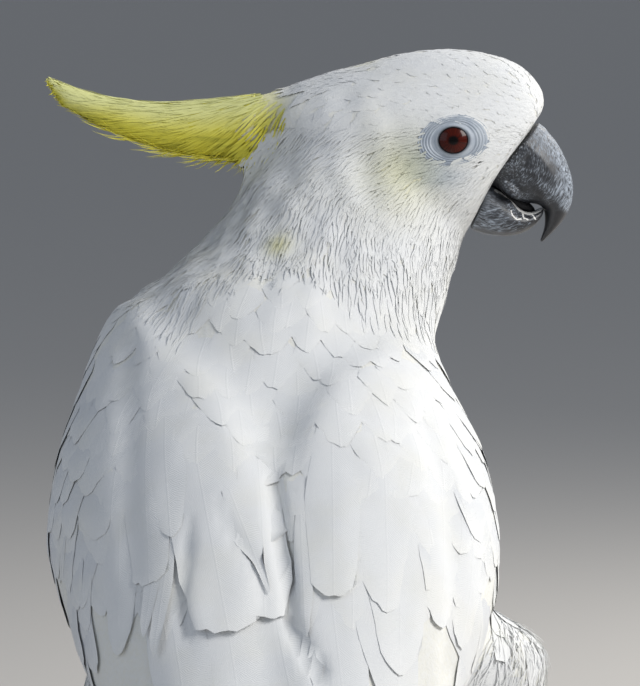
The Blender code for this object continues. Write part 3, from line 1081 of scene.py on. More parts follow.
        depth = cut.depth * lengths[:, None] * (1 - v) ** 1.3
        rolls = cut.roll * breadths * random.choice([-1, 1], number) * random.uniform(0.4, 1.2, number)
        height = cut.lift * lengths[:, None] * v**2 - depth + rolls[:, None] * u * v
        height = height - cut.dive * lengths[:, None] * smoothstep(0.7, 1.0, v)
        height = height - cut.camber * breadths[:, None] * u**2 * (0.3 + 0.7 * v) - sink
        height = height + random.normal(0, cut.uneven, number)[:, None] * lengths[:, None] * v
        height = height - cut.thickness * pattern.under
        points = points + ups * height[:, :, None]
        shading = unit(ups * cut.soft + pattern.normals(points) * (1 - cut.soft))

        grain = np.stack(np.broadcast_arrays(half * u / MM, lengths[:, None] * v / MM), axis=2)
        patch = np.stack(np.broadcast_arrays(u * 0.5, v - 0.5), axis=2) * self.PATCH
        patches = self.skin.unwrapped(roots)[:, None, :] + patch
        yellow = (tint or yellow_at)(points.reshape(-1, 3)).reshape(half.shape)
        chance = np.broadcast_to(random.random(number)[:, None], half.shape)
        bare = bare_at(points.reshape(-1, 3)).reshape(half.shape)
        tints = np.stack([yellow, chance, bare, np.broadcast_to(v, half.shape)], axis=2)
        plumes.add(pattern, points, shading, grain, patches, tints)
        if cut.fringe:
            self.fringe(plumes, cut, points, ups, aheads, lengths, random)

    def fringe(
        self, plumes: Plumes, cut: Cut, points: Array, ups: Array, aheads: Array, lengths: Array,
        random: np.random.Generator,
    ) -> None:
        """Grows loose barbs out of the feathers' tips.

        Args:
            plumes: What they are gathered in.
            cut: The feathers' shape.
            points: The feathers' points.
            ups: The way out of the form at each point.
            aheads: The way the coat runs at each point.
            lengths: How long each feather is.
            random: The random numbers.
        """
        pattern = cut.pattern
        at_side = (np.abs(pattern.across) > 0.99) & (pattern.along > 0.7)
        edge = np.flatnonzero((pattern.along > 0.99) | at_side)
        angle = np.arctan2(pattern.across[edge], pattern.along[edge] - 0.5)
        edge = edge[np.argsort(angle)]
        number = len(points)
        feathers = np.repeat(np.arange(number), cut.fringe)
        place = random.random(len(feathers)) * (len(edge) - 1.001)
        one, share = place.astype(int), (place % 1)[:, None]
        first, second = edge[one], edge[one + 1]
        roots = points[feathers, first] * (1 - share) + points[feathers, second] * share
        up, ahead = ups[feathers, first], aheads[feathers, first]
        across = pattern.across[first] * (1 - share[:, 0]) + pattern.across[second] * share[:, 0]
        lean = (across * 0.5 + random.normal(0, 0.15, len(feathers)))[:, None]
        headings = unit(ahead * np.cos(lean) + np.cross(ahead, up) * np.sin(lean))
        long = lengths[feathers] * cut.barb * random.uniform(0.6, 1.3, len(feathers))
        long = np.clip(long, *self.LOOSE)
        roots = roots - headings * long[:, None] * 0.55
        breadths = np.full(len(roots), self.LOOSE_BREADTH)
        seed = int(random.integers(1 << 30))
        self.lay(plumes, FRINGE, roots, long, breadths, seed, headings=headings, sink=-0.05 * MM)


@dataclass(frozen=True)
class Row:
    """A row of large feathers across each wing, with sizes in millimetres."""

    station: float
    from_angle: float
    to_angle: float
    count: int
    length: float
    breadth: float
    shift: float = 0.0  # how much further down the body the last one starts, in stations
    growth: float = 0.0  # how much longer the last one is than the first


class Skin:
    """The one skin under the coat."""

    NODES = ("head", "neck", "trunk", "wing_left", "wing_right", "thigh_left", "thigh_right")
    BODY = ("trunk", "wing_left", "wing_right")
    END_Y = -196.0  # where the wings get too thin for it
    DEPTH = 0.03  # how deep it lies, as a share of the coat's length
    LEAST_DEPTH = 0.12 * MM
    CREST_DEPTH = 0.5 * MM  # how much deeper it lies under the crest
    VOXEL = 1.9 * MM

    def __init__(self, lie: Lie) -> None:
        """Makes the skin, set in from the flesh by the depth of the coat.

        Args:
            lie: How long the coat is, which sets its depth.
        """
        end = BIRD.world((0, self.END_Y, 0))[1]
        body = [node_mesh(name, end) for name in self.BODY]
        rest = [node_mesh(name) for name in self.NODES if name not in self.BODY]
        mesh = whole_form(body, [*rest, crest_mesh()], self.VOXEL)
        points = points_of(mesh)
        x, _, z = BIRD.own(points).T
        under_crest = smoothstep(4, -6, x) * (z > 270)
        depth = self.DEPTH * lie.length(points) + self.LEAST_DEPTH + self.CREST_DEPTH * under_crest
        none = np.zeros(len(points))
        tint = np.stack([yellow_at(points), none, none, none + 1], axis=1)
        store(mesh, "Tint", "FLOAT_COLOR", tint)
        move(mesh, points - normals_of(mesh) * depth[:, None])
        mesh.update()
        self.mesh = mesh
        self.object = finished("skin", mesh, PLUMAGE.skin())
        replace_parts(self.object, *self.NODES)
        self.unwrap()

    def unwrap(self) -> None:
        """Unwraps the skin and reads the map for placing the feathers' patches."""
        bpy.context.view_layer.objects.active = self.object
        self.object.select_set(True)
        bpy.ops.object.mode_set(mode="EDIT")
        bpy.ops.mesh.select_all(action="SELECT")
        bpy.ops.uv.smart_project(angle_limit=math.radians(66), island_margin=0.002)
        bpy.ops.object.mode_set(mode="OBJECT")
        form = bmesh.new()
        form.from_mesh(self.mesh)
        bmesh.ops.triangulate(form, faces=form.faces)
        layer = form.loops.layers.uv.active
        self.corners = np.array([[loop[layer].uv[:] for loop in face.loops] for face in form.faces])
        flat = mesh_from(form, "flat")
        self.surface = Surface(flat)
        bpy.data.meshes.remove(flat)

    def unwrapped(self, roots: Array) -> Array:
        """Where roots lie on the skin's unwrap.

        Args:
            roots: Points on or near the skin.

        Returns:
            A pair of map coordinates for each.
        """
        found, faces = self.surface.nearest_faces(roots)
        weights = self.surface.shares(found, faces)
        return (self.corners[faces] * weights[:, :, None]).sum(1)


# ---------------------------------------------------------------- materials


class Shader:
    """Adds nodes to a tree and joins them in a few words."""

    def __init__(self, tree: bpy.types.NodeTree) -> None:
        """Keeps the tree."""
        self.tree = tree

    def give(self, node: bpy.types.Node, values: dict) -> None:
        """Puts values into a node's inputs.

        Args:
            node: The node.
            values: A socket or a plain value for each input, by name or number.
        """
        for name, value in values.items():
            if isinstance(value, bpy.types.NodeSocket):
                self.tree.links.new(value, node.inputs[name])
            else:
                node.inputs[name].default_value = value

    def node(self, kind: str, values: dict | None = None, **settings: object) -> bpy.types.Node:
        """Adds a node.

        Args:
            kind: The node's type.
            values: What goes into its inputs.
            settings: Its own settings.

        Returns:
            The node.
        """
        made = self.tree.nodes.new(kind)
        for name, value in settings.items():
            setattr(made, name, value)
        self.give(made, values or {})
        return made

    def math(self, operation: str, *values: object, clamp: bool = False) -> bpy.types.NodeSocket:
        """Works out a number from others.

        Args:
            operation: What is worked out.
            values: What from: sockets or numbers.
            clamp: Whether the result is kept between 0 and 1.

        Returns:
            The result.
        """
        made = self.node("ShaderNodeMath", dict(enumerate(values)), operation=operation, use_clamp=clamp)
        return made.outputs[0]

    def product(self, *values: object) -> bpy.types.NodeSocket:
        """The product of two values."""
        return self.math("MULTIPLY", *values)

    def vector(self, operation: str, *values: object) -> bpy.types.Node:
        """Works on vectors: a node with what it works on."""
        return self.node("ShaderNodeVectorMath", dict(enumerate(values)), operation=operation)

    def mix(self, share: object, first: object, second: object) -> bpy.types.NodeSocket:
        """One colour mixed into another by a share."""
        return self.node("ShaderNodeMix", {0: share, 6: first, 7: second}, data_type="RGBA").outputs[2]

    def noise(self, where: bpy.types.NodeSocket, scale: float, detail: float = 3.0) -> bpy.types.NodeSocket:
        """Noise at a scale, as a value round one half."""
        values = {"Vector": where, "Scale": scale, "Detail": detail}
        return self.node("ShaderNodeTexNoise", values).outputs[0]

    def band(self, value: object, low: float, high: float) -> bpy.types.NodeSocket:
        """Runs smoothly from 0 at low to 1 at high."""
        values = {"Value": value, "From Min": low, "From Max": high}
        return self.node("ShaderNodeMapRange", values, interpolation_type="SMOOTHSTEP").outputs[0]

    def where(self) -> bpy.types.NodeSocket:
        """The place on the object, in metres."""
        return self.node("ShaderNodeTexCoord").outputs["Object"]

    def stretched(self, place: object, scale: tuple, turn: tuple = (0.0, 0.0, 0.0)) -> bpy.types.NodeSocket:
        """A place turned and scaled, for noise that runs one way."""
        values = {"Vector": place, "Rotation": turn, "Scale": scale}
        return self.node("ShaderNodeMapping", values).outputs[0]

    def stored(self, name: str) -> bpy.types.Node:
        """What the mesh keeps under a name."""
        return self.node("ShaderNodeAttribute", attribute_name=name)

    def parts(self, value: bpy.types.NodeSocket) -> bpy.types.bpy_prop_collection:
        """The three parts of a vector or colour."""
        return self.node("ShaderNodeSeparateXYZ", {0: value}).outputs

    def bump(self, height: bpy.types.NodeSocket, strength: float, distance: float) -> bpy.types.NodeSocket:
        """The normal of a relief.

        Args:
            height: The relief, from 0 to 1.
            strength: How much of it is seen.
            distance: How deep it is, in millimetres.

        Returns:
            The normal.
        """
        values = {"Strength": strength, "Distance": distance * MM, "Height": height}
        return self.node("ShaderNodeBump", values).outputs[0]


def new_material(name: str) -> tuple[bpy.types.Material, Shader, bpy.types.Node]:
    """A material with its Principled shader.

    Args:
        name: Its name.

    Returns:
        The material, a writer for its nodes and its Principled node.
    """
    made = bpy.data.materials.new(name)
    made.use_nodes = True
    return made, Shader(made.node_tree), made.node_tree.nodes["Principled BSDF"]


def new_group(name: str, ins: dict[str, tuple[str, object]], outs: dict[str, str]) -> tuple:
    """A node group with named sockets.

    Args:
        name: Its name.
        ins: The kind and start value of each input.
        outs: The kind of each output.

    Returns:
        The group, a writer for its nodes, its input node and its output node.
    """
    tree = bpy.data.node_groups.new(name, "ShaderNodeTree")
    for socket, (kind, value) in ins.items():
        made = tree.interface.new_socket(name=socket, in_out="INPUT", socket_type=kind)
        made.default_value = value
    for socket, kind in outs.items():
        tree.interface.new_socket(name=socket, in_out="OUTPUT", socket_type=kind)
    writer = Shader(tree)
    return tree, writer, writer.node("NodeGroupInput"), writer.node("NodeGroupOutput")


def barb_group() -> bpy.types.NodeTree:
    """Makes the barbs that slant from a feather's shaft, with the shaft's ridge and a few partings.

    Returns:
        The group. Its spacing is in millimetres.
    """
    number = "NodeSocketFloat"
    ins = {"Spacing": (number, 0.6), "Slant": (number, 0.8), "Wander": (number, 0.5)}
    tree, write, given, out = new_group("barbs", ins, {"Height": number, "Line": number})
    grain = write.node("ShaderNodeUVMap", uv_map="Grain").outputs[0]
    across, along, _ = write.parts(grain)
    off_shaft = write.math("ABSOLUTE", across)
    drift = write.product(write.noise(grain, 0.35, 2.0), given.outputs["Wander"])
    slanted = write.product(off_shaft, given.outputs["Slant"])
    phase = write.math("ADD", write.math("SUBTRACT", along, slanted), write.product(drift, 4.0))
    turns = write.math("DIVIDE", phase, given.outputs["Spacing"])
    wave = write.math("SINE", write.product(turns, math.tau))
    uneven = write.noise(write.node("ShaderNodeCombineXYZ", {0: turns, 1: 0.0}).outputs[0], 0.7, 1.0)
    barbs = write.product(write.math("ADD", wave, 1.0), uneven)
    shaft = write.band(off_shaft, 0.45, 0.15)
    height = write.math("ADD", barbs, write.product(shaft, 0.9))
    line = write.math("MULTIPLY", barbs, 0.5, clamp=True)
    write.give(out, {"Height": height, "Line": line})
    return tree


@dataclass(frozen=True)
class PlumageFinish:
    """White feathers, with the yellow that shows at their bases on the crown, cheek and nape, and painted
    shade where other feathers cover them and along the barbs.
    """

    white: Colour = (0.86, 0.87, 0.87, 1)
    cream: Colour = (0.83, 0.82, 0.74, 1)
    yellow: Colour = (0.74, 0.7, 0.22, 1)
    lemon: Colour = (0.86, 0.79, 0.075, 1)
    pale: Colour = (0.8, 0.81, 0.36, 1)
    # painted shade where the crest's barbs lie deep
    olive_shade: Colour = (0.36, 0.35, 0.02, 1)
    blue: Colour = (0.47, 0.54, 0.64, 1)
    # painted shade on the part of each feather that others cover
    shade: Colour = (0.52, 0.56, 0.63, 1)
    # painted shade for the lines between barbs
    barb_line_shade: Colour = (0.6, 0.62, 0.66, 1)  # between barbs

    def feather(
        self, name: str, spacing: float, strength: float, slant: float = 0.8, depth: float = 0.1
    ) -> bpy.types.Material:
        """White vanes, with painted shade where other feathers cover them.

        Args:
            name: The material's name.
            spacing: Millimetres from barb to barb.
            strength: How deep the barbs look.
            slant: How far the barbs lean back.
            depth: How much painted shade darkens a feather where others cover it.

        Returns:
            The material.
        """
        made, write, shader = new_material(name)
        tint = write.stored("Tint")
        yellow, chance, bare = write.parts(tint.outputs["Color"])
        barbs = write.node("ShaderNodeGroup", node_tree=BARBS)
        write.give(barbs, {"Spacing": spacing, "Slant": slant, "Wander": 0.5})
        blotch = write.band(write.noise(write.where(), 60.0), 0.4, 0.75)
        base = write.mix(write.product(blotch, 0.35), self.white, self.cream)
        # Painted shade: darker and bluer towards the root, where the next feathers cover the vane, with a
        # little random darkening per feather.
        covered = write.band(tint.outputs["Alpha"], 0.98, 0.55)
        covered = write.math("MULTIPLY_ADD", covered, depth, write.product(chance, 0.04))
        base = write.mix(covered, base, self.shade)
        base = write.mix(write.product(bare, 0.75), base, self.blue)
        base = write.mix(yellow, base, self.yellow)
        write.give(shader, {
            # A faint painted shade along the barb lines.
            "Base Color": write.mix(write.product(barbs.outputs["Line"], 0.05), base, self.barb_line_shade),
            "Roughness": 0.72,
            "Specular IOR Level": 0.3,
            "Sheen Weight": 0.15,
            "Normal": write.bump(barbs.outputs["Height"], strength, 0.2),
        })
        return made

    def skin(self) -> bpy.types.Material:
        """Down over the skin.

        Returns:
            The material.
        """
        made, write, shader = new_material("down")
        fluff = write.noise(write.where(), 700.0, 4.0)
        yellow = write.parts(write.stored("Tint").outputs["Color"])[0]
        white = write.mix(fluff, self.cream, self.white)
        write.give(shader, {
            "Base Color": write.mix(yellow, white, self.yellow),
            "Roughness": 0.9,
            "Normal": write.bump(fluff, 0.4, 0.5),
        })
        return made

    def crest(self, name: str) -> bpy.types.Material:
        """Yellow crest barbs, with painted shade in dark streaks where they lie deep.

        Args:
            name: The material's name.

        Returns:
            The material.
        """
        made, write, shader = new_material(name)
        paleness, chance, _ = write.parts(write.stored("Tint").outputs["Color"])
        where = write.where()
        along = write.stretched(where, (70, 260, 420), (0.0, math.radians(-38), 0.0))
        # Painted shade: streaks along the barbs where they lie deep, more on some barbs at random, kept off
        # the pale upper edge.
        streaks = write.band(write.noise(along, 1.0, 2.0), 0.5, 0.72)
        share = write.math("MULTIPLY_ADD", streaks, 0.45, write.product(chance, 0.12))
        share = write.math("MULTIPLY", share, write.band(paleness, 0.7, 0.2), clamp=True)
        yellow = write.mix(share, self.lemon, self.olive_shade)
        write.give(shader, {
            "Base Color": write.mix(paleness, yellow, self.pale),
            "Roughness": 0.6,
            "Sheen Weight": 0.1,
            "Normal": write.bump(write.noise(where, 1800.0, 2.0), 0.3, 0.1),
        })
        return made


@dataclass(frozen=True)
class HornFinish:
    """Dark horn under pale powder, as on the bill, or bare and smooth, as on the claws."""

    dark: Colour = (0.02, 0.021, 0.025, 1)
    powder: Colour = (0.38, 0.43, 0.5, 1)
    pale: Colour = (0.78, 0.78, 0.76, 1)  # where the horn is broken
    worn: Colour = (0.06, 0.06, 0.065, 1)

    def horn(self, name: str) -> bpy.types.Material:
        """Horn with fine scratches that follow the bill's curve, and powder where the bill has it.

        Args:
            name: The material's name.

        Returns:
            The material.
        """
        made, write, shader = new_material(name)
        curve = write.stored("Curve").outputs["Vector"]
        powder, edge, _ = write.parts(write.stored("Powder").outputs["Vector"])
        warp = write.node("ShaderNodeTexNoise", {"Vector": curve, "Scale": 0.25, "Detail": 2.0}).outputs[1]
        bent = write.vector("MULTIPLY", warp, (2.0, 2.0, 2.0)).outputs[0]
        moved = write.vector("ADD", curve, bent).outputs[0]
        scratch = write.noise(write.stretched(moved, (2.6, 0.4, 1.5)), 1.0, 4.0)
        cloud = write.noise(write.where(), 130.0, 4.0)
        cover = write.product(write.band(scratch, 0.53, 0.63), write.band(cloud, 0.4, 0.66))
        thick = write.math("ADD", write.product(powder, 1.1), write.math("SUBTRACT", cloud, 0.62))
        dust = write.product(write.band(thick, 0.2, 1.0), 0.75)
        dust = write.product(dust, write.band(scratch, 0.3, 0.6))
        share = write.math("ADD", write.product(cover, 0.55), dust)
        share = write.math("MULTIPLY", share, write.band(powder, 0.0, 0.3), clamp=True)
        colour = write.mix(share, self.dark, self.powder)
        broken = write.band(write.math("ADD", edge, write.math("SUBTRACT", scratch, 0.5)), 0.35, 0.6)
        rough = write.node("ShaderNodeMapRange", {"Value": share, "To Min": 0.36, "To Max": 0.8}).outputs[0]
        write.give(shader, {
            "Base Color": write.mix(broken, colour, self.pale),
            "Roughness": rough,
            "Normal": write.bump(scratch, 0.35, 0.15),
        })
        return made

    def claw(self, name: str) -> bpy.types.Material:
        """Smooth dark horn.

        Args:
            name: The material's name.

        Returns:
            The material.
        """
        made, write, shader = new_material(name)
        cloud = write.noise(write.where(), 600.0, 3.0)
        write.give(shader, {"Base Color": write.mix(cloud, self.dark, self.worn), "Roughness": 0.35})
        return made


@dataclass(frozen=True)
class ScaleFinish:
    """Dark grey skin divided into small scales, paler between them."""

    grey: Colour = (0.075, 0.076, 0.082, 1)
    seam: Colour = (0.2, 0.2, 0.2, 1)
    size: float = 1.7  # of a scale, in millimetres

    def material(self) -> bpy.types.Material:
        """Dresses the feet.

        Returns:
            The material.
        """
        made, write, shader = new_material("foot_scales")
        cell = {"Vector": write.where(), "Scale": 1 / (self.size * MM)}
        cells = write.node("ShaderNodeTexVoronoi", cell, feature="DISTANCE_TO_EDGE")
        edge = write.band(cells.outputs["Distance"], 0.0, 0.16)
        write.give(shader, {
            "Base Color": write.mix(edge, self.seam, self.grey),
            "Roughness": 0.6,
            "Normal": write.bump(edge, 0.7, 0.25),
        })
        return made


@dataclass(frozen=True)
class SkinFinish:
    """Bare skin in one colour with mottling, darker at a rim and with painted shade in its folds."""

    name: str
    colour: Colour
    shade: Colour
    roughness: float
    grain: float
    # painted shade at the bottom of a fold
    fold: Colour = (0.16, 0.19, 0.24, 1)
    rim: Colour = (0.03, 0.035, 0.045, 1)

    def material(self) -> bpy.types.Material:
        """Dresses skin, darker where the mesh marks a rim, with painted shade where it marks the bottom of a
        fold.

        Returns:
            The material.
        """
        made, write, shader = new_material(self.name)
        where = write.where()
        rim, fold, _ = write.parts(write.stored("Marks").outputs["Vector"])
        mottled = write.band(write.noise(where, self.grain, 4.0), 0.35, 0.7)
        base = write.mix(mottled, self.colour, self.shade)
        # Painted shade in the folds' valleys.
        base = write.mix(write.product(fold, 0.6), base, self.fold)
        write.give(shader, {
            "Base Color": write.mix(write.product(rim, 0.92), base, self.rim),
            "Roughness": self.roughness,
            "Normal": write.bump(write.noise(where, self.grain * 6, 3.0), 0.25, 0.15),
        })
        return made


@dataclass(frozen=True)
class EyeFinish:
    """A wet red-brown iris round a black pupil."""

    iris: Colour = (0.085, 0.008, 0.003, 1)
    deep: Colour = (0.035, 0.004, 0.002, 1)
    black: Colour = (0.003, 0.002, 0.002, 1)
    edge: Colour = (0.012, 0.006, 0.006, 1)
    pupil: float = 0.33  # radii as shares of the disc that shows
    rim: float = 0.93

    def material(self) -> bpy.types.Material:
        """Dresses the eye, by the map that runs out from the pupil's middle.

        Returns:
            The material.
        """
        made, write, shader = new_material("eye_wet")
        place = write.node("ShaderNodeUVMap", uv_map="Disc").outputs[0]
        reach = write.vector("LENGTH", place).outputs["Value"]
        fibres = write.noise(write.vector("NORMALIZE", place).outputs[0], 9.0, 4.0)
        iris = write.mix(write.band(fibres, 0.3, 0.75), self.deep, self.iris)
        inner = write.mix(write.band(reach, self.pupil - 0.1, self.pupil + 0.14), self.black, iris)
        write.give(shader, {
            "Base Color": write.mix(write.band(reach, self.rim - 0.07, self.rim + 0.04), inner, self.edge),
            "Roughness": 0.25,
            "Specular IOR Level": 0.1,
            "Coat Weight": 1.0,
            "Coat Roughness": 0.01,
            "Coat IOR": 1.22,
        })
        return made


BARBS = barb_group()
PLUMAGE = PlumageFinish()
HORN = HornFinish()
SCALES = ScaleFinish()
RING_SKIN = SkinFinish("eye_ring_skin", (0.47, 0.52, 0.58, 1), (0.38, 0.43, 0.5, 1), 0.55, 300.0)
MOUTH_SKIN = SkinFinish("mouth_skin", (0.006, 0.006, 0.007, 1), (0.014, 0.014, 0.016, 1), 0.8, 500.0)


# ---------------------------------------------------------------- the plumage, tract by tract


@dataclass(frozen=True)
class Quill:
    """A large feather of the lower back, by its root and tip as x and z seen from behind."""

    root: tuple[float, float]
    tip: tuple[float, float]
    breadth: float
    lift: float = 0.2  # how far the tip stands out
    camber: float = 0.045  # how far the edges drop, as a share of the breadth
    end: float = 0.68  # breadth at the tip
    rounding: float = 0.14


QUILLS = (
    Quill((52, 160), (60, 84), 26, 0.0),
    Quill((-58, 160), (-54, 84), 22, 0.0),
    Quill((44, 162), (58, 90), 24, 0.3, 0.02),
    Quill((30, 162), (45, 86), 22, 0.3, 0.015),
    Quill((16, 162), (29, 82), 20, 0.3, 0.015),
    Quill((-2, 160), (16, 80), 21, 0.5, 0.015),
    Quill((-20, 160), (-4, 78), 22, 0.5, 0.015),
    Quill((-38, 160), (-27, 82), 22, 0.5, 0.015),
    Quill((64, 184), (62, 118), 22, 0.1),
    Quill((40, 184), (42, 113), 26, 0.4, 0.03),
    Quill((55, 190), (56, 126), 24, 0.1),
    Quill((-50, 184), (-50, 118), 18, 0.3),
    Quill((9.5, 164), (11.5, 126), 7, 0.2),
    Quill((20, 194), (20.5, 138), 19, 0.5, 0.035, 0.8, 0.08),
    Quill((36, 194), (38, 133), 25, 0.2),
    Quill((-37, 160), (-41, 125), 6, 1.4, 0.02),
    Quill((-33, 160), (-37.5, 119), 6, 1.8, 0.02),
    Quill((-42, 190), (-40, 141), 18, 0.5, 0.03, 0.8, 0.06),
    Quill((-36, 194), (-33, 156), 14, 0.3, 0.045),
    Quill((-7, 196), (-3.4, 130.4), 18, 0.8, 0.02, 0.9, 0.03),
    Quill((-28, 196), (-13.5, 127.3), 27, 1.0, 0.014, 0.86, 0.04),
    Quill((-14, 172), (-0.6, 138.5), 10, 1.5, 0.03, 0.35, 0.3),
)

# The long inner feathers of the folded wings, which meet over the rump; x is mirrored for the left side.
TERTIALS = (
    Quill((46, 112), (30, 56), 24, 0.0, 0.03, 0.6, 0.2),
    Quill((34, 114), (20, 50), 25, 0.2, 0.03, 0.6, 0.2),
    Quill((22, 116), (11, 45), 25, 0.4, 0.03, 0.6, 0.2),
    Quill((10, 118), (4, 52), 23, 0.5, 0.03, 0.6, 0.2),
)

# Lower and upper edge of the right folded wing: y, then x and z of each.
WING_EDGES = (
    (-40, 64, 104, 22, 205), (-60, 58, 92, 12, 188), (-80, 49, 79, 10, 160), (-100, 41, 67, 8, 130),
    (-120, 36, 57, 8, 101), (-140, 32.5, 50, 8, 85), (-160, 29, 44.5, 7, 72.5), (-180, 26, 39.5, 6, 61.5),
    (-200, 22.5, 35, 5, 51.5), (-225, 18, 29.5, 4, 39),
)

# Primaries and secondaries: share of the way up the wing, y of root and tip, breadth.
WING_QUILLS = (
    (0.10, -62, -205, 12), (0.18, -66, -219, 13), (0.26, -70, -227, 14), (0.34, -74, -229, 14),
    (0.42, -78, -224, 15), (0.50, -82, -215, 16), (0.58, -86, -205, 17), (0.10, -54, -128, 17),
    (0.20, -60, -140, 18), (0.30, -66, -150, 18), (0.40, -72, -158, 19), (0.50, -84, -164, 19),
    (0.60, -96, -170, 20), (0.70, -106, -176, 20), (0.80, -114, -180, 20), (0.90, -120, -182, 20),
    (0.98, -124, -176, 19),
)

# The edge where the crown's white feathers end on the crest: z, and x there.
CROWN_EDGE = ((272, 278, 283.5, 288, 296, 298.5, 301), (-12, -7, 0, 2, 3, -1, -6))

CLEAR = Cut(ragged=0.015, camber=0.014, dive=0.008, roll=0.012, uneven=0.006, soft=0.62)
SLEEK = Cut(SMALL_VANE, rounding=0.3, ragged=0.03, uneven=0.001, soft=0.93)

# The scattered feathers, tract by tract: their shape, and their breadth as a share of their length.
TRACTS = {
    "face": (replace(SLEEK, root=0.5, wander=9, dive=0.035), 0.5),
    "crown": (replace(SLEEK, root=0.4, dive=0.03, camber=0.04), 0.5),
    "neck": (Cut(SMALL_VANE, ragged=0.02, wander=10, uneven=0.004, fringe=6, barb=0.2), 0.6),
    "breast": (replace(CLEAR, roll=0.006), 0.66),
    "back": (Cut(ragged=0.015), 0.66),
    "thighs": (Cut(SMALL_VANE, ragged=0.03, wander=10, laid=0.76, uneven=0.01, fringe=6, barb=0.25), 0.5),
    "shoulders": (Cut(ragged=0.015), 0.66),
    "wings": (CLEAR, 0.66),
}
SILK = Cut(HAIR, root=0.8, tip=0.25, widest=0.4, rounding=0, camber=0, dive=0.03, roll=0.008, uneven=0.004,
           thickness=0.05 * MM, wander=7, ragged=0, soft=0.93)
FLUFF = Cut(BARB, root=0.8, tip=0.15, widest=0.3, rounding=0, depth=0.03, camber=0, dive=0, uneven=0.02,
            thickness=0.1 * MM, wander=16, ragged=0, soft=0.6, laid=0.4, curl=-0.7, lift=0.05)
COVER = Cut(SMALL_VANE, root=0.5, tip=0.3, widest=0.5, rounding=0.3, wander=8, depth=0.04,
            thickness=0.08 * MM)
SCAPULAR = Cut(rounding=0.16, tip=0.7, thickness=0.16 * MM, ragged=0.012)
COVERT = Cut(rounding=0.2, tip=0.66, thickness=0.18 * MM, ragged=0.012, dive=0.004, camber=0.012, roll=0.012,
             uneven=0.006, soft=0.6)
FLIGHT = Cut(LONG_VANE, root=0.5, tip=0.5, widest=0.3, rounding=0.05, depth=0.008, camber=0.03, dive=0.0,
             roll=0.02, thickness=0.3 * MM, wander=1.0, ragged=0.003, soft=0.35, uneven=0.0, flat=True)
BACK = Cut(HERO_VANE, root=0.6, widest=0.5, depth=0.014, dive=0.0, roll=0.0, thickness=0.2 * MM, wander=0,
           ragged=0.006, soft=0.72, uneven=0.0)

SCAPULAR_ROWS = (Row(4.7, 4, 50, 3, 38, 24), Row(5.3, 2, 60, 4, 44, 27), Row(5.9, 2, 58, 4, 44, 29))
COVERT_ROWS = (
    Row(5.4, 60, 112, 6, 24, 15, 0.2),
    Row(6.0, 56, 112, 7, 30, 17, 0.3),
    Row(6.6, 52, 108, 7, 36, 20, 0.3),
    Row(7.2, 44, 106, 8, 46, 20, 0.3),
    Row(7.9, 70, 102, 4, 40, 18, 0.4),
)


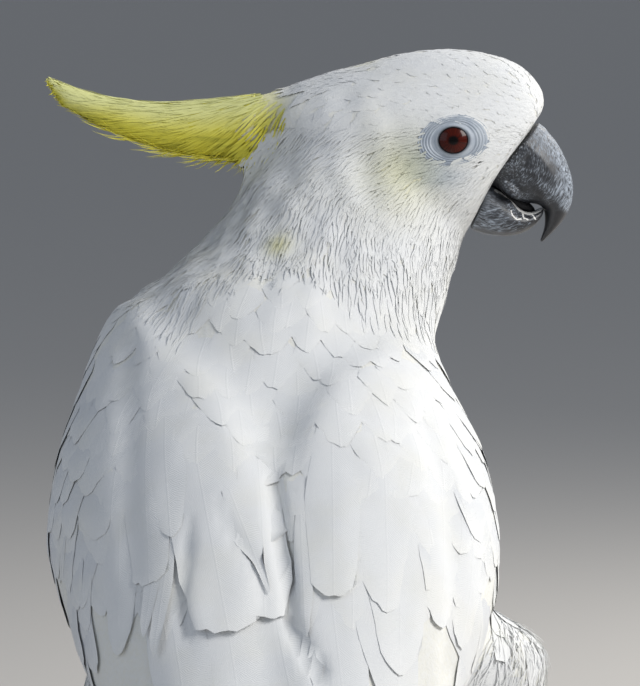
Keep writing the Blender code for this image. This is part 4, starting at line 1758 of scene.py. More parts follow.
@dataclass
class Plumage:
    """All the white feathers."""

    coat: Coat
    lie: Lie
    spine: Spine
    spacing: float = 0.3  # least distance between roots, as a share of the length
    eye: tuple[float, float] = (62.1, 283.4)  # x and z of the eye rings' middle
    ring: tuple[float, float] = (10.6, 7.7)  # half their breadth and height
    off_bill: float = 0.9 * MM  # how far feathers keep from the bill
    form_end: float = -218.0  # the y behind which flight feathers run straight on
    root_depth: float = 7.0 * MM  # how deep the flight feathers' roots are pressed in
    neck_foot: float = 216.0  # the z below which no loose barbs grow
    brow: float = 14.0  # nearer to the head's plane than this, nothing is taken for the rings

    # The bill's three come last.
    NODES = ("head", "neck", "trunk", "thigh_left", "thigh_right", "wing_left", "wing_right", "tail", "crest",
             "shank_left", "shank_right", "bill_upper", "bill_lower", "cere")

    def clear_of_eye(self, points: Array, margin: float = -1.0) -> Array:
        """Whether points on the head lie outside the bare eye rings.

        Args:
            points: Places in the frame.
            margin: How far outside the rings' edge, in millimetres.

        Returns:
            Yes or no for each point.
        """
        x, y, z = BIRD.own(points).T
        wide, high = (half + margin for half in self.ring)
        reach = ((x - self.eye[0]) / wide) ** 2 + ((z - self.eye[1]) / high) ** 2
        return (reach > 1) | (np.abs(y - HEAD_PLANE) < self.brow)

    def over_crest(self, points: Array, margin: float) -> Array:
        """Whether points lie where the crown's white feathers still cover the crest.

        Args:
            points: Places in the frame.
            margin: How far inside their edge, in millimetres.

        Returns:
            Yes or no for each point.
        """
        x, _, z = BIRD.own(points).T
        return (x > np.interp(z, *CROWN_EDGE) + margin) | (z < 270)

    def nearest_nodes(self, roots: Array) -> tuple[Array, Array]:
        """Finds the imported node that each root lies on.

        Args:
            roots: Where feathers start.

        Returns:
            The name of the nearest node, and how far the bill is, for each root.
        """
        surfaces = (Surface(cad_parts[name].data) for name in self.NODES)
        apart = np.stack([surface.distance(roots) for surface in surfaces], axis=1)
        return np.array(self.NODES)[apart.argmin(1)], apart[:, -3:].min(1)

    def ends(self, roots: Array, lengths: Array) -> Array:
        """Where feathers of these lengths would end if they ran on straight."""
        return roots + self.lie.heading(*self.coat.form.nearest(roots)) * lengths[:, None]

    def tract(
        self,
        name: str,
        cut: Cut,
        roots: Array,
        lengths: Array,
        breadths: Array,
        seed: int,
        finish: bpy.types.Material,
        **more: object,
    ) -> None:
        """Grows the feathers of one piece.

        Args:
            name: The piece's name.
            cut: The feathers' shape.
            roots: Where each starts.
            lengths: How long each is.
            breadths: How broad each is.
            seed: Start of the random numbers.
            finish: What they are dressed in.
            more: What else the coat lays them by.
        """
        plumes = Plumes(name)
        self.coat.lay(plumes, cut, roots, lengths, breadths, seed, **more)
        finished(name, plumes.joined(), finish)

    def scattered(self) -> None:
        """Grows the contour feathers that have no rows, sorted into tracts."""
        roots = self.coat.form.scatter(
            lambda spots: self.spacing * self.lie.length(spots), Seed.CONTOUR_ROOTS
        )
        nearest, from_bill = self.nearest_nodes(roots)
        x, y, z = BIRD.own(roots).T
        lengths = self.lie.length(roots)
        ends = self.ends(roots, lengths)
        outs = self.coat.form.nearest(roots)[1]
        off_bill = from_bill > self.off_bill
        kept = self.clear_of_eye(roots) & self.clear_of_eye(ends) & off_bill
        on_head = (nearest == "head") & self.over_crest(ends, 1.0) | (nearest == "crest") & (x > 30)
        on_wing = np.isin(nearest, ("wing_left", "wing_right")) & ((z > 150) | (y > -5) & (z > 120))
        sideways, forward = np.abs(outs[:, 0]) > 0.72, outs[:, 1] > 0.1
        short = lengths < 9 * MM
        groups = {
            "face": kept & on_head & short,
            "crown": kept & on_head & ~short,
            "neck": (nearest == "neck") & off_bill,
            "breast": (nearest == "trunk") & forward,
            "back": (nearest == "trunk") & ~forward,
            "thighs": np.isin(nearest, ("thigh_left", "thigh_right")),
            "shoulders": on_wing & ~sideways,
            "wings": on_wing & sideways,
        }
        finishes = {
            "face": PLUMAGE.feather("face_plumage", 0.35, 0.3, 0.6),
            "crown": PLUMAGE.feather("crown_plumage", 0.4, 0.3, 0.7),
            "wings": PLUMAGE.feather("wing_plumage", 0.6, 0.25, 0.8, 0.3),
            "breast": PLUMAGE.feather("breast_plumage", 0.6, 0.25, 0.8, 0.25),
        }
        body = PLUMAGE.feather("body_plumage", 0.55, 0.25)
        for index, (name, chosen) in enumerate(groups.items()):
            cut, ratio = TRACTS[name]
            long, finish, seed = lengths[chosen], finishes.get(name, body), Seed.CONTOUR + index
            self.tract(f"{name}_feathers", cut, roots[chosen], long, long * ratio, seed, finish)
        self.hair(body)
        self.fluff(body)
        self.crest_cover(finishes["crown"])

    def hair(self, finish: bpy.types.Material) -> None:
        """Grows the loose barbs that make the head and neck look silky.

        Args:
            finish: What they are dressed in.
        """
        def spacing(spots: Array) -> Array:
            """How far apart they start: wide on the neck's foot, and hardly any below it.

            Args:
                spots: Places in the frame.

            Returns:
                Metres, one for each spot.
            """
            z = BIRD.own(spots)[:, 2]
            apart = 1.0 + 0.9 * smoothstep(262, self.neck_foot, z) + 30 * (z < self.neck_foot)
            return apart * MM + 0.04 * self.lie.length(spots)

        roots = self.coat.form.scatter(spacing, Seed.SILK_ROOTS)
        nearest, from_bill = self.nearest_nodes(roots)
        z = BIRD.own(roots)[:, 2]
        lengths = np.clip(self.lie.length(roots) * 0.6, 2.4 * MM, 7 * MM)
        ends = self.ends(roots, lengths)
        kept = self.clear_of_eye(roots, -0.4) & self.clear_of_eye(ends, -0.4) & (from_bill > 0.5 * MM)
        groups = {
            "head_barbs": kept & np.isin(nearest, ("head", "crest")) & self.over_crest(ends, 0.0) & (z < 288),
            "neck_barbs": kept & np.isin(nearest, ("neck", "trunk")) & (z > self.neck_foot),
        }
        for index, (name, chosen) in enumerate(groups.items()):
            long = lengths[chosen]
            breadths = 0.4 * MM + long * 0.08
            self.tract(name, SILK, roots[chosen], long, breadths, Seed.SILK + index, finish, sink=-0.08 * MM)

    def fluff(self, finish: bpy.types.Material) -> None:
        """Grows the long loose barbs of the flanks, which curl out between wing and thigh.

        Args:
            finish: What they are dressed in.
        """
        roots = self.coat.form.scatter(lambda spots: np.full(len(spots), 2.2 * MM), Seed.FLUFF_ROOTS)
        nearest, _ = self.nearest_nodes(roots)
        x, y, z = BIRD.own(roots).T
        on_thigh = np.isin(nearest, ("thigh_left", "thigh_right"))
        roots = roots[on_thigh & (np.abs(x) > 48) & (z > 66) & (y < 12)]
        random = np.random.default_rng(Seed.FLUFF_SIZES)
        long = random.uniform(9, 17, len(roots)) * MM
        breadths = random.uniform(0.45, 0.8, len(roots)) * MM
        self.tract("flank_barbs", FLUFF, roots, long, breadths, Seed.FLUFF, finish)

    def crest_cover(self, finish: bpy.types.Material) -> None:
        """Grows the small white feathers that lie over the crest's foot.

        Args:
            finish: What they are dressed in.
        """
        roots = self.coat.form.scatter(lambda spots: above(spots, 268, 1.7), Seed.COVER_ROOTS)
        x, y, _ = BIRD.own(roots).T
        roots = roots[(np.abs(y - HEAD_PLANE) < 13) & (x > -10) & (x < 34)]
        lengths = np.random.default_rng(Seed.COVER_SIZES).uniform(7, 10, len(roots)) * MM
        kept = self.over_crest(self.ends(roots, lengths), 0.0)
        long = lengths[kept]
        self.tract("crest_cover", COVER, roots[kept], long, long * 0.34, Seed.COVER, finish,
                   tint=lambda spots: 0.25 * yellow_at(spots))

    def rows(self, name: str, cut: Cut, rows: Sequence[Row], finish: bpy.types.Material, seed: int) -> None:
        """Grows rows of large feathers on both sides.

        Args:
            name: The piece's name.
            cut: The feathers' shape.
            rows: Where they start and how large they are.
            finish: What they are dressed in.
            seed: Start of the random numbers.
        """
        plumes, random = Plumes(name), np.random.default_rng(seed)
        for row in rows:
            for side in Side:
                spots, sizes = [], []
                for share in (np.arange(row.count) + 0.5) / row.count:
                    angle = row.from_angle + (row.to_angle - row.from_angle) * share + random.normal(0, 1.2)
                    station = row.station + row.shift * share + random.normal(0, 0.04)
                    spot = self.spine.spot(station, angle, side)
                    if spot is not None:
                        spots.append(spot)
                        sizes.append((random.normal(1, 0.03), row.length + row.growth * share))
                sizes, longs = np.array(sizes).T
                lengths, breadths = sizes * longs * MM, sizes * row.breadth * MM
                self.coat.lay(plumes, cut, np.array(spots), lengths, breadths, seed + 1)
        finished(name, plumes.joined(), finish)

    def grow(self) -> None:
        """Grows the whole white coat."""
        self.scattered()
        soft = PLUMAGE.feather("scapular_plumage", 0.7, 0.2)
        covert = PLUMAGE.feather("covert_plumage", 0.7, 0.25, 0.9, 0.34)
        back = PLUMAGE.feather("back_plumage", 0.8, 0.2, 1.1, 0.14)
        flight = PLUMAGE.feather("flight_plumage", 0.8, 0.35, 1.1, 0.3)
        self.rows("scapular_feathers", SCAPULAR, SCAPULAR_ROWS, soft, Seed.SCAPULARS)
        self.rows("covert_feathers", COVERT, COVERT_ROWS, covert, Seed.COVERTS)
        self.wing_quills(flight)
        self.heroes(back)
        self.tail(flight)

    def wing_quills(self, finish: bpy.types.Material) -> None:
        """Lays the primaries and secondaries of the folded wings, the lowest first.

        Args:
            finish: What they are dressed in.
        """
        plumes = Plumes("flight_feathers")
        for side in Side:
            for layer, (share, start, tip, breadth) in enumerate(WING_QUILLS):
                course, outs = self.wing_course(side, share, np.linspace(start, tip, FLIGHT.pattern.rows))
                sink = np.array([-0.1 - 0.1 * layer]) * MM
                breadths = np.array([breadth * MM])
                self.coat.follow(plumes, FLIGHT, course[None], outs[None], breadths, layer, sink)
        finished(plumes.name, plumes.joined(), finish)

    def wing_course(self, side: Side, share: float, along: Array) -> tuple[Array, Array]:
        """Finds the places that one feather of the folded wing passes.

        Args:
            side: Which wing.
            share: How far up the wing it lies, from 0 to 1.
            along: The y of each place, from root to tip.

        Returns:
            The places, pressed in at the root, and the way out of the wing at each.
        """
        edges = np.array(WING_EDGES, float)
        swing = math.radians(-12 + 84 * share + 34 * smoothstep(0.6, 1.0, share))
        course, outs = [], []
        for y in along:
            low_x, low_z, top_x, top_z = (np.interp(-y, -edges[:, 0], edges[:, i]) for i in range(1, 5))
            out = np.array([side.value * math.cos(swing), 0.0, math.sin(swing)])
            x, z = side.value * (low_x + (top_x - low_x) * share), low_z + (top_z - low_z) * share
            spot = self.coat.form.hit(BIRD.world((x, y, z)) + out * 80 * MM, -out)
            if len(course) > 1 and (spot is None or y < self.form_end):
                spot, out = 2 * course[-1] - course[-2], outs[-1]
            course.append(spot)
            outs.append(out)
        course = np.array(course)
        course[1:-1] = (course[:-2] + course[1:-1] * 2 + course[2:]) / 4
        at_root = np.linspace(1, 0, len(course)) ** 3 * 0.6
        hidden = np.maximum(at_root, smoothstep(82, 98, BIRD.own(course)[:, 2]))
        course -= self.coat.form.nearest(course)[1] * hidden[:, None] * self.root_depth
        return course, np.array(outs)

    def heroes(self, finish: bpy.types.Material) -> None:
        """Lays the large feathers of the lower back one by one, the lowest first.

        Args:
            finish: What they are dressed in.
        """
        plumes = Plumes("back_group_feathers")
        deep = replace(BACK, depth=0.06)
        for layer, quill in enumerate(TERTIALS):
            for side in Side:
                sink = -(3.0 + 0.12 * layer) * MM
                self.one_hero(plumes, deep, quill, side.value, Seed.TERTIALS + layer, sink)
        for layer, quill in enumerate(QUILLS):
            self.one_hero(plumes, BACK, quill, 1, Seed.QUILLS + layer, -layer * 0.015 * MM)
        finished(plumes.name, plumes.joined(), finish)

    def one_hero(self, plumes: Plumes, cut: Cut, quill: Quill, side: int, seed: int, sink: float) -> None:
        """Lays one large feather of the lower back.

        Args:
            plumes: What it is gathered in.
            cut: The shape that it shares with the others.
            quill: Its own place and shape.
            side: Minus one mirrors it.
            seed: Start of the random numbers.
            sink: How much lower than usual it lies, in metres.
        """
        places = [BIRD.world((side * x, -260, z)) for x, z in (quill.root, quill.tip)]
        root, tip = (self.coat.form.hit(place, np.array([0.0, 1.0, 0.0])) for place in places)
        if root is None or tip is None:
            return
        long = np.linalg.norm(tip - root)
        lift = quill.lift * MM / long
        shaped = replace(cut, lift=lift, tip=quill.end, camber=quill.camber, rounding=quill.rounding)
        self.coat.lay(plumes, shaped, root[None], np.array([long]), np.array([quill.breadth * MM]), seed,
                      headings=unit(tip - root)[None], sink=sink)

    def tail(self, finish: bpy.types.Material) -> None:
        """Grows the twelve tail feathers, above and below, over the tail's core.

        Args:
            finish: What they are dressed in.
        """
        core = merged([node_mesh("tail", BIRD.world((0, -264, 0))[1])], 1.3 * MM, 2)
        surface = Surface(core)
        move(core, points_of(core) - normals_of(core) * 0.5 * MM)
        shown = finished("tail_core", core, finish)
        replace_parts(shown, "tail")
        plumes, laid = Plumes("tail_feathers"), replace(FLIGHT, laid=0.86)
        # The upper feathers reach further back than the lower. Ranks run from the edges to the middle.
        for above, last in ((1, -276), (-1, -262)):
            for rank in range(5, -1, -1):
                for side in Side:
                    start = BIRD.world((side.value * (1.5 + rank * 3.6), -128 - rank * 2, 60 + above * 60))
                    end = BIRD.world((side.value * (4 + rank * 4.6), last + rank * 2.4, 0))
                    spot = surface.hit(start, np.array([0, 0, -above * 1.0]))
                    if spot is None:
                        continue
                    long = np.array([np.linalg.norm((end - spot)[:2]) * 1.06])
                    self.coat.lay(plumes, laid, spot[None], long, np.array([17.0 * MM]), Seed.TAIL + rank,
                                  headings=unit(end - spot)[None], on=surface, sink=(rank - 6) * 0.12 * MM)
        finished("tail_feathers", plumes.joined(), finish)


@dataclass
class Crest:
    """The yellow crest: a core under barbs that fan out of its lower edge."""

    coat: Coat
    length: float = 19.0  # of a barb
    breadth: float = 0.75
    spacing: float = 1.05  # least distance between roots
    voxel: float = 0.8 * MM

    STRAND = Cut(BARB, root=0.7, tip=0.12, widest=0.35, rounding=0, depth=0.03, camber=0.02, roll=0.02,
                 uneven=0.005, thickness=0.1 * MM, laid=0.6, wander=5, ragged=0, soft=0.75, lift=0.004)
    # Where the barbs of the core and those over the crest's foot begin: z, and x there.
    CORE_FOOT = ((292, 296, 300), (10, 3, -7))
    FOOT = ((272, 278, 283.5, 288, 293, 296, 300), (-12, -6, 1.5, 3.5, 5, 3.5, -7))

    def grow(self) -> None:
        """Makes the core and its barbs."""
        mesh = merged([crest_mesh()], self.voxel, 3)
        surface = Surface(mesh)
        finish = PLUMAGE.crest("crest_yellow")
        self.core(mesh, finish)
        plumes, random = Plumes("crest_barbs"), np.random.default_rng(Seed.STRAND_SIZES)
        self.edge(plumes, surface, random)
        self.foot(plumes, random)
        finished("crest_barbs", plumes.joined(), finish)

    def core(self, mesh: bpy.types.Mesh, finish: bpy.types.Material) -> None:
        """Shows the core, drawn in so that it stays under the barbs and under the crown.

        Args:
            mesh: The crest's form, which is changed.
            finish: What the core is dressed in.
        """
        points = points_of(mesh)
        # The high second channel gives the core, which lies deep under the barbs, more of the crest's painted
        # shade.
        store(mesh, "Tint", "FLOAT_COLOR", np.tile([0.0, 0.9, 0.0, 1.0], (len(points), 1)))
        x, _, z = BIRD.own(points).T
        inset = 0.45 + 1.6 * smoothstep(-9, 3, x)
        points = points - normals_of(mesh) * inset[:, None] * MM
        points[:, 2] -= 3.5 * MM * smoothstep(-10, 0, x) * smoothstep(288, 298, z)
        move(mesh, points)
        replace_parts(finished("crest_core", mesh, finish), "crest")

    def edge(self, plumes: Plumes, surface: Surface, random: np.random.Generator) -> None:
        """Lays barbs over the core, and loose ones along its lower edge.

        Args:
            plumes: What they are gathered in.
            surface: The crest's form.
            random: The random numbers.
        """
        roots = surface.scatter(lambda spots: np.full(len(spots), self.spacing * MM), Seed.STRAND_ROOTS)
        x, _, z = BIRD.own(roots).T
        kept = x < np.interp(z, *self.CORE_FOOT)
        shorter = 1 - 0.78 * smoothstep(-50, -75, x)
        long = self.length * MM * shorter * random.uniform(0.7, 1.25, len(x))
        breadths = self.breadth * MM * random.uniform(0.6, 1.3, len(x))
        low, headings = self.lie(roots, 0.0)
        self.coat.lay(plumes, self.STRAND, roots[kept], long[kept], breadths[kept], Seed.STRANDS,
                      self.paleness, headings[kept], on=surface)
        edge = kept & (low > 0.8) & (x > -78)
        loose = replace(self.STRAND, laid=0.16, curl=-0.5, lift=0.0, wander=8)
        headings = self.lie(roots, 0.25)[1]
        long = random.uniform(9, 18, edge.sum()) * MM * shorter[edge]
        self.coat.lay(plumes, loose, roots[edge], long, breadths[edge] * 0.6, Seed.LOOSE_STRANDS,
                      self.paleness, headings[edge], on=surface)

    def foot(self, plumes: Plumes, random: np.random.Generator) -> None:
        """Lays barbs over the crest's foot, on the bird's outer form.

        Args:
            plumes: What they are gathered in.
            random: The random numbers.
        """
        roots = self.coat.form.scatter(lambda spots: above(spots, 270, 1.0), Seed.FOOT_ROOTS)
        x, y, z = BIRD.own(roots).T
        roots = roots[(np.abs(y - HEAD_PLANE) < 14) & (x > -14) & (x < np.interp(z, *self.FOOT)) & (z > 273)]
        headings = self.lie(roots, 0.0)[1]
        long = random.uniform(8, 15, len(roots)) * MM
        breadths = random.uniform(0.6, 1.1, len(roots)) * MM
        cut = replace(self.STRAND, laid=0.7, camber=0.0)
        self.coat.lay(plumes, cut, roots, long, breadths, Seed.FOOT_STRANDS, self.paleness, headings,
                      sink=0.1 * MM)

    def lie(self, roots: Array, droop: float) -> tuple[Array, Array]:
        """The way the crest's barbs run.

        Args:
            roots: Where they start.
            droop: How much further down they point, in radians.

        Returns:
            How low each root is on the crest, and the headings.
        """
        x, low, rows = BIRD.own(roots)[:, 0], crest_share(roots), np.array(CREST_COURSE)[::-1]
        middle = rows[:, 1] * 0.7 + rows[:, 2] * 0.3
        slope = np.interp(x - 8, rows[:, 0], middle) - np.interp(x, rows[:, 0], middle)
        base = smoothstep(-30, 3, x)
        run = np.arctan2(slope, -8.0 * np.ones_like(x))
        angle = run + 0.05 + 0.45 * low**1.3 + 0.5 * base * np.minimum(low * 3, 1) + droop
        return low, np.stack([np.cos(angle), np.zeros_like(x), np.sin(angle)], axis=1)

    def paleness(self, points: Array) -> Array:
        """How pale the crest is: most along its upper edge.

        Args:
            points: Places in the frame.

        Returns:
            From 0, yellow, to 0.95, pale, at each point.
        """
        near_tip = smoothstep(-58, -74, BIRD.own(points)[:, 0])
        return 0.95 * smoothstep(0.66, 0.12, crest_share(points) - 0.35 * near_tip)


@dataclass
class Eye:
    """One eye: a wet ball in a bare ring of fine folds."""

    side: Side
    surface: Surface
    middle: tuple[float, float, float] = (61.9, 20.5, 283.5)  # x, distance from the head's plane, z
    radius: float = 8.0
    opening: tuple[float, float] = (5.15, 4.6)  # half the breadth and height between the lids
    outer: tuple[float, float] = (12.2, 9.2)  # and of the ring, under the feathers
    folds: float = 6.6  # how many there are from the lids' edge outwards
    fold_height: float = 0.2
    back: float = 1.6  # how far the ring's back lies behind its front
    lid: float = 0.75  # how far the lids' edge stands up
    follow: float = 30.0  # square of the distance over which the ring follows the ball
    tuck: float = 0.25  # how far the ring's outer edge lies under the head's form
    outside: float = 60.0  # further from the head's plane than the head's side

    def build(self, ball: bpy.types.Material, bare: bpy.types.Material) -> None:
        """Makes the ball and the ring.

        Args:
            ball: What the ball is dressed in.
            bare: What the ring is dressed in.
        """
        self.make_ball(ball)
        self.make_ring(bare)

    def make_ball(self, finish: bpy.types.Material) -> None:
        """Makes the ball, mapped outwards from the pupil.

        Args:
            finish: What it is dressed in.
        """
        form = bmesh.new()
        bmesh.ops.create_uvsphere(form, u_segments=48, v_segments=32, radius=self.radius * MM)
        x, off, z = self.middle
        centre = BIRD.world((x, HEAD_PLANE - self.side.value * off, z))
        bmesh.ops.translate(form, verts=form.verts, vec=Vector(centre))
        layer = form.loops.layers.uv.new("Disc")
        for face in form.faces:
            for loop in face.loops:
                own = (np.array(loop.vert.co) - centre) / MM
                loop[layer].uv = (own[0] / self.opening[0], own[2] / self.opening[1])
        made = finished(f"eyeball_{self.side.word}", mesh_from(form, "ball"), finish)
        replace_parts(made, f"eye_{self.side.word}")

    def make_ring(self, finish: bpy.types.Material) -> None:
        """Makes the ring: folds that run round the eye, from the lids' edge out to the feathers.

        Args:
            finish: What it is dressed in.
        """
        form, copied = double_grid(96, 26)
        below = set(copied)
        x, _, z = self.middle
        marks = form.verts.layers.float_vector.new("Marks")
        for vert in form.verts:
            angle, reach = vert.co.x * math.pi, (vert.co.y + 1) / 2
            # The second mark, how deep a place lies in a fold's valley, sets where the ring gets painted
            # shade.
            valley = max(0.0, -math.sin(self.phase(reach, angle))) ** 2 * float(smoothstep(0.25, 0.45, reach))
            vert[marks] = (math.exp(-((reach / 0.09) ** 2)), valley, 0)
            wide = self.opening[0] + (self.outer[0] - self.opening[0]) * reach
            high = self.opening[1] + (self.outer[1] - self.opening[1]) * reach
            lower = 1 + 0.06 * math.sin(angle * 2 + 0.7) * reach
            place = (x + wide * lower * math.cos(angle) + 0.4 * reach, z + high * lower * math.sin(angle))
            out = self.height(place, angle, reach)
            if vert in below:
                out -= self.back * math.sin(math.pi * reach) ** 0.5
            vert.co = BIRD.world((place[0], HEAD_PLANE - self.side.value * out, place[1]))
        bmesh.ops.remove_doubles(form, verts=form.verts, dist=2e-6)
        bmesh.ops.recalc_face_normals(form, faces=form.faces)
        made = finished(f"bare_ring_{self.side.word}", mesh_from(form, "ring"), finish)
        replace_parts(made, f"eye_ring_{self.side.word}")

    def height(self, place: tuple[float, float], angle: float, reach: float) -> float:
        """How far the ring stands from the head's plane.

        Args:
            place: x and z.
            angle: Way round the ring, in radians.
            reach: Way out from the lids' edge, from 0 to 1.

        Returns:
            Millimetres.
        """
        flat = (place[0] - self.middle[0]) ** 2 + (place[1] - self.middle[2]) ** 2
        edge = self.middle[1] + math.sqrt(self.radius**2 - min(flat, self.follow)) - 0.1
        start = BIRD.world((place[0], HEAD_PLANE - self.side.value * self.outside, place[1]))
        hit = self.surface.hit(start, np.array([0.0, self.side.value * 1.0, 0.0]))
        face = edge - 2 if hit is None else abs(BIRD.own(hit)[1] - HEAD_PLANE)
        slope = float(smoothstep(0.1, 1.0, reach))
        lid = self.lid * math.exp(-(((reach - 0.1) / 0.12) ** 2))
        fade = float(smoothstep(0.2, 0.45, reach) * smoothstep(1.0, 0.9, reach))
        folds = self.fold_height * math.sin(self.phase(reach, angle)) * fade
        return edge * (1 - slope) + (face - self.tuck) * slope + lid + folds

    def phase(self, reach: float, angle: float) -> float:
        """Where in the wave of folds a place on the ring is, in radians."""
        waver = 0.3 * math.sin(angle) + 0.12 * math.sin(3 * angle + 1)
        return math.tau * (self.folds * reach**1.2 + waver)


@dataclass
class Bill:
    """The horn of the bill, with its powder, and the dark of the mouth, in the bird's millimetres."""

    centre: tuple[float, float] = (76.0, 278.0)  # what the scratches run round, as x and z
    radian: float = 22.0  # how long one is on the map for the scratches
    face: tuple[float, float] = (84.0, 277.0)  # where the horn comes out of the feathers
    face_out: tuple[float, float] = (0.74, -0.67)
    voxel: float = 0.42 * MM
    seam: float = 0.6 * MM  # half the breadth of the grooves that are filled between parts
    culmen: tuple[tuple[float, float], ...] = (
        (86.5, 290.5), (91.6, 288.4), (97.6, 283.2), (101.9, 275.6), (104.3, 267.6), (104.2, 261),
    )
    cutting_edge: tuple[tuple[float, float], ...] = (
        (77.0, 265.2), (79.6, 263.9), (82.2, 262.2), (83.9, 260.2), (85.2, 258.5), (87.2, 257.3),
        (89.3, 256.9), (91.6, 257.5), (93.6, 258.8),
    )
    mouth: tuple[float, float, float] = (83.0, 38.0, 261.6)
    mouth_reach: tuple[float, float, float] = (9.0, 5.0, 2.4)
    mouth_tilt: float = 27.0
    flange: tuple[float, float, float] = (81.6, 38.0, 265.9)
    flange_reach: tuple[float, float, float] = (7.4, 12.2, 2.5)
    flange_tilt: float = 36.0
    branches: tuple[tuple[tuple[float, float], ...], ...] = (
        ((82.4, 258.4), (82.9, 256.6), (84.3, 255.3), (86.0, 255.4)),
        ((89.9, 256.9), (91.1, 255.0)),
        ((86.4, 257.2), (86.9, 255.7), (88.3, 255.1)),
    )  # pale cracks that run down from the lower bill's edge
    upper_edge: tuple[tuple[float, float], ...] = ((87, 259.7), (92, 259.0), (94.6, 258.2))
    ridges: tuple[tuple[float, float], ...] = ((-0.9, 0.34), (0.9, 0.3), (2.6, 0.2))  # place and strength

    def near(self, places: Array, line: Sequence[tuple[float, float]], reach: float) -> Array:
        """How near places are to a line, from 0 to 1, falling over a reach."""
        return np.exp(-((distance_to(places, line) / reach) ** 2))

    def build(self, horn: bpy.types.Material, bare: bpy.types.Material) -> None:
        """Makes the two mandibles, the upper with its cere, and the mouth.

        Args:
            horn: What the mandibles are dressed in.
            bare: What the mouth is dressed in.
        """
        flange = self.ellipsoid(self.flange, self.flange_reach, self.flange_tilt)
        halves = (
            ("bill_upper", [flange, node_mesh("cere")], ("bill_upper", "cere"), self.upper_marks),
            ("bill_lower", [], ("bill_lower",), self.lower_marks),
        )
        for name, more, replaced, marks in halves:
            mesh = merged([node_mesh(name), *more], self.voxel, 4, self.seam)
            self.curves(mesh)
            powder, pale = marks(BIRD.own(points_of(mesh)))
            store(mesh, "Powder", "FLOAT_VECTOR", np.stack([powder, pale, powder * 0], axis=1))
            made = finished(name + "_horn", mesh, horn)
            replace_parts(made, *replaced)
        finished("mouth", self.ellipsoid(self.mouth, self.mouth_reach, self.mouth_tilt), bare)

    def upper_marks(self, own: Array) -> tuple[Array, Array]:
        """Where the upper bill is powdered, and where it is broken and pale.

        Args:
            own: Places in the bird's millimetres.

        Returns:
            How much of each there is at each place, from 0 to about 1.
        """
        places, z = own[:, [0, 2]], own[:, 2]
        front = (places - np.array(self.face)) @ np.array(self.face_out)
        powder = 0.95 * self.near(places, self.culmen, 4.2) + 0.42 * smoothstep(249, 262, z)
        powder = powder * smoothstep(249, 259, z) * smoothstep(-2.8, 0.4, front)
        pale = 0.5 * self.near(places, self.upper_edge, 0.35)
        for step, strength in self.ridges:
            pale = pale + strength * np.exp(-(((front - step) / 0.35) ** 2)) * (z > 266)
        return powder, pale

    def lower_marks(self, own: Array) -> tuple[Array, Array]:
        """Where the lower bill is powdered, and where it is broken and pale.

        Args:
            own: Places in the bird's millimetres.

        Returns:
            How much of each there is at each place, from 0 to 1.
        """
        places = own[:, [0, 2]]
        pale = self.near(places, self.cutting_edge, 0.42)
        for branch in self.branches:
            pale = np.maximum(pale, 0.85 * self.near(places, branch, 0.28))
        return 0.3 + 0.35 * smoothstep(86, 74, own[:, 0]), pale

    def ellipsoid(self, middle: Sequence[float], reach: Sequence[float], tilt: float) -> bpy.types.Mesh:
        """An ellipsoid across the bill.

        Args:
            middle: Its middle, in the bird's millimetres.
            reach: Half its size along, across and upright.
            tilt: Degrees by which its front hangs down.

        Returns:
            The mesh.
        """
        form = bmesh.new()
        bmesh.ops.create_uvsphere(form, u_segments=32, v_segments=20, radius=1.0)
        bmesh.ops.scale(form, verts=form.verts, vec=np.array(reach) * MM)
        bmesh.ops.rotate(form, verts=form.verts, matrix=Matrix.Rotation(math.radians(tilt), 3, "Y"))
        bmesh.ops.translate(form, verts=form.verts, vec=Vector(BIRD.world(middle)))
        return mesh_from(form, "ellipsoid")

    def curves(self, mesh: bpy.types.Mesh) -> None:
        """Maps a mesh round the bill's middle: how far out, round and across, in millimetres.

        Args:
            mesh: The mesh, which keeps the map.
        """
        own = BIRD.own(points_of(mesh))
        rel = own[:, [0, 2]] - np.array(self.centre)
        radius = np.linalg.norm(rel, axis=1)
        turned = np.arctan2(rel[:, 1], rel[:, 0]) * self.radian
        curve = np.stack([radius, turned, own[:, 1] - HEAD_PLANE], axis=1)
        store(mesh, "Curve", "FLOAT_VECTOR", curve)


class Feet:
    """The scaly shanks and toes, and the claws."""

    VOXEL = 0.6 * MM
    CLAW_VOXEL = 0.32 * MM
    WEB = 0.9 * MM  # half the breadth of the grooves that are filled between shank and toes

    def build(self, scaly: bpy.types.Material, horn: bpy.types.Material) -> None:
        """Makes both feet.

        Args:
            scaly: What shanks and toes are dressed in.
            horn: What the claws are dressed in.
        """
        for side in Side:
            parts = (f"shank_{side.word}", f"foot_{side.word}")
            mesh = merged([node_mesh(name) for name in parts], self.VOXEL, 2, self.WEB)
            made = finished(f"scaly_foot_{side.word}", mesh, scaly)
            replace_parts(made, *parts)
        for name in [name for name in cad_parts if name.startswith("claw_")]:
            mesh = merged([node_mesh(name)], self.CLAW_VOXEL, 2)
            made = finished(name.replace("claw", "nail"), mesh, horn)
            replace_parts(made, name)


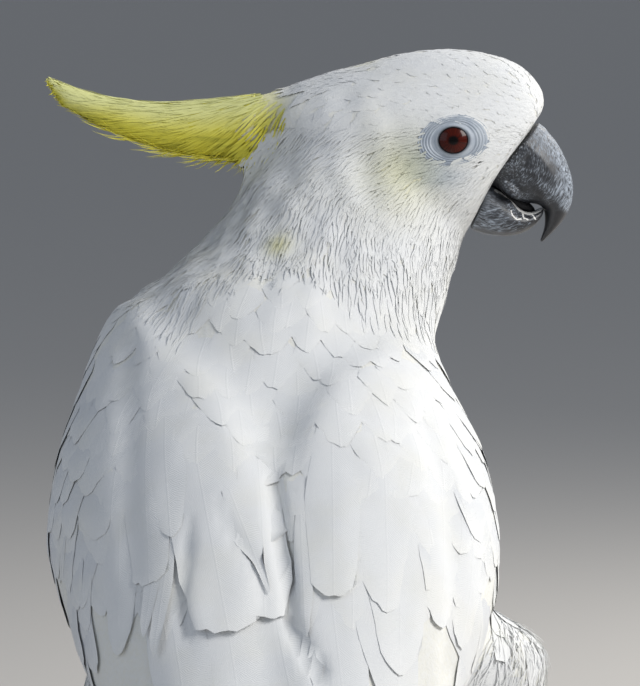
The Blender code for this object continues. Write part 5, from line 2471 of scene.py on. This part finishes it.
@dataclass(frozen=True)
class Studio:
    """The floor, the light and the camera."""

    target: tuple[float, float, float] = (16.0, 38.0, 211.4)  # what the camera looks at
    lit: tuple[float, float, float] = (10.0, 20.0, 200.0)  # what the lamps face
    height: float = 240.0  # what the picture takes in, top to bottom, at the head's plane
    distance: float = 2.0  # of the camera, in metres
    elevation: float = 4.5  # of the camera, in degrees
    sensor: float = 36.0
    ground: Colour = (0.62, 0.6, 0.57, 1)
    sky: Colour = (0.62, 0.68, 0.78, 1)

    # Name, place and size in metres, power in watts and colour.
    LAMPS = (
        ("key", (1.35, -0.55, 1.15), 0.8, 26.0, (1.0, 0.98, 0.95)),
        ("rim", (0.75, 0.9, 0.9), 0.4, 8.0, (1.0, 0.96, 0.9)),
        ("fill", (-1.3, -0.9, 0.7), 1.2, 4.0, (0.78, 0.87, 1.0)),
    )

    def build(self) -> None:
        """Places all three."""
        self.floor()
        for name, place, size, power, colour in self.LAMPS:
            self.lamp(name, place, size, power, colour)
        world = bpy.data.worlds.new("studio")
        world.use_nodes = True
        Shader(world.node_tree).give(world.node_tree.nodes["Background"], {0: self.sky, 1: 0.32})
        bpy.context.scene.world = world
        bpy.context.scene.view_settings.view_transform = "Standard"
        self.camera()

    def floor(self) -> None:
        """Lays the floor, far wider than the picture."""
        form = bmesh.new()
        bmesh.ops.create_grid(form, x_segments=1, y_segments=1, size=60.0)
        mesh = mesh_from(form, "floor")
        made, write, shader = new_material("floor_paint")
        write.give(shader, {"Base Color": self.ground, "Roughness": 0.8})
        mesh.materials.append(made)
        placed("floor", mesh)

    def lamp(self, name: str, place: tuple, size: float, power: float, colour: tuple) -> None:
        """Adds a soft lamp that faces the bird.

        Args:
            name: The lamp's name.
            place: Where it stands, in metres.
            size: How wide it is, in metres.
            power: In watts.
            colour: Red, green and blue.
        """
        lamp = bpy.data.lights.new(name, "AREA")
        lamp.size, lamp.energy, lamp.color = size, power, colour
        made = placed(name, lamp)
        made.location = place
        self.face(made, Vector(BIRD.world(self.lit)))

    def camera(self) -> None:
        """Looks at the bird's back from a little above head height, from far off."""
        camera = bpy.data.cameras.new("camera")
        camera.sensor_width = self.sensor
        camera.lens = self.sensor / 2 * self.distance / (self.height / 2 * MM)
        camera.clip_end = 20.0
        made = placed("camera", camera)
        tilt = math.radians(self.elevation)
        target = Vector(BIRD.world(self.target))
        made.location = target + Vector((0, -math.cos(tilt), math.sin(tilt))) * self.distance
        self.face(made, target)
        bpy.context.scene.camera = made

    def face(self, made: bpy.types.Object, target: Vector) -> None:
        """Turns a lamp or camera towards a place."""
        made.rotation_euler = (target - made.location).to_track_quat("-Z", "Y").to_euler()


def main() -> None:
    """Builds the bird, the floor, the lights and the camera."""
    logging.basicConfig(level=logging.INFO, format="%(message)s")
    lie = Lie()
    skin = Skin(lie)
    body = [node_mesh(name) for name in (*Skin.BODY, "tail")]
    smaller = ("head", "neck", "thigh_left", "thigh_right", "shank_left", "shank_right", "crest",
               "eye_left", "eye_right", "eye_ring_left", "eye_ring_right")
    whole = whole_form(body, [node_mesh(name) for name in smaller], FORM_VOXEL)
    form = Surface(whole)
    bpy.data.meshes.remove(whole)
    coat = Coat(form, lie, skin)
    Plumage(coat, lie, Spine(form)).grow()
    Crest(coat).grow()
    ball = EyeFinish().material()
    bare = RING_SKIN.material()
    for side in Side:
        Eye(side, form).build(ball, bare)
    Bill().build(HORN.horn("bill_horn"), MOUTH_SKIN.material())
    Feet().build(SCALES.material(), HORN.claw("claw_horn"))
    Studio().build()


if __name__ == "__main__":
    main()
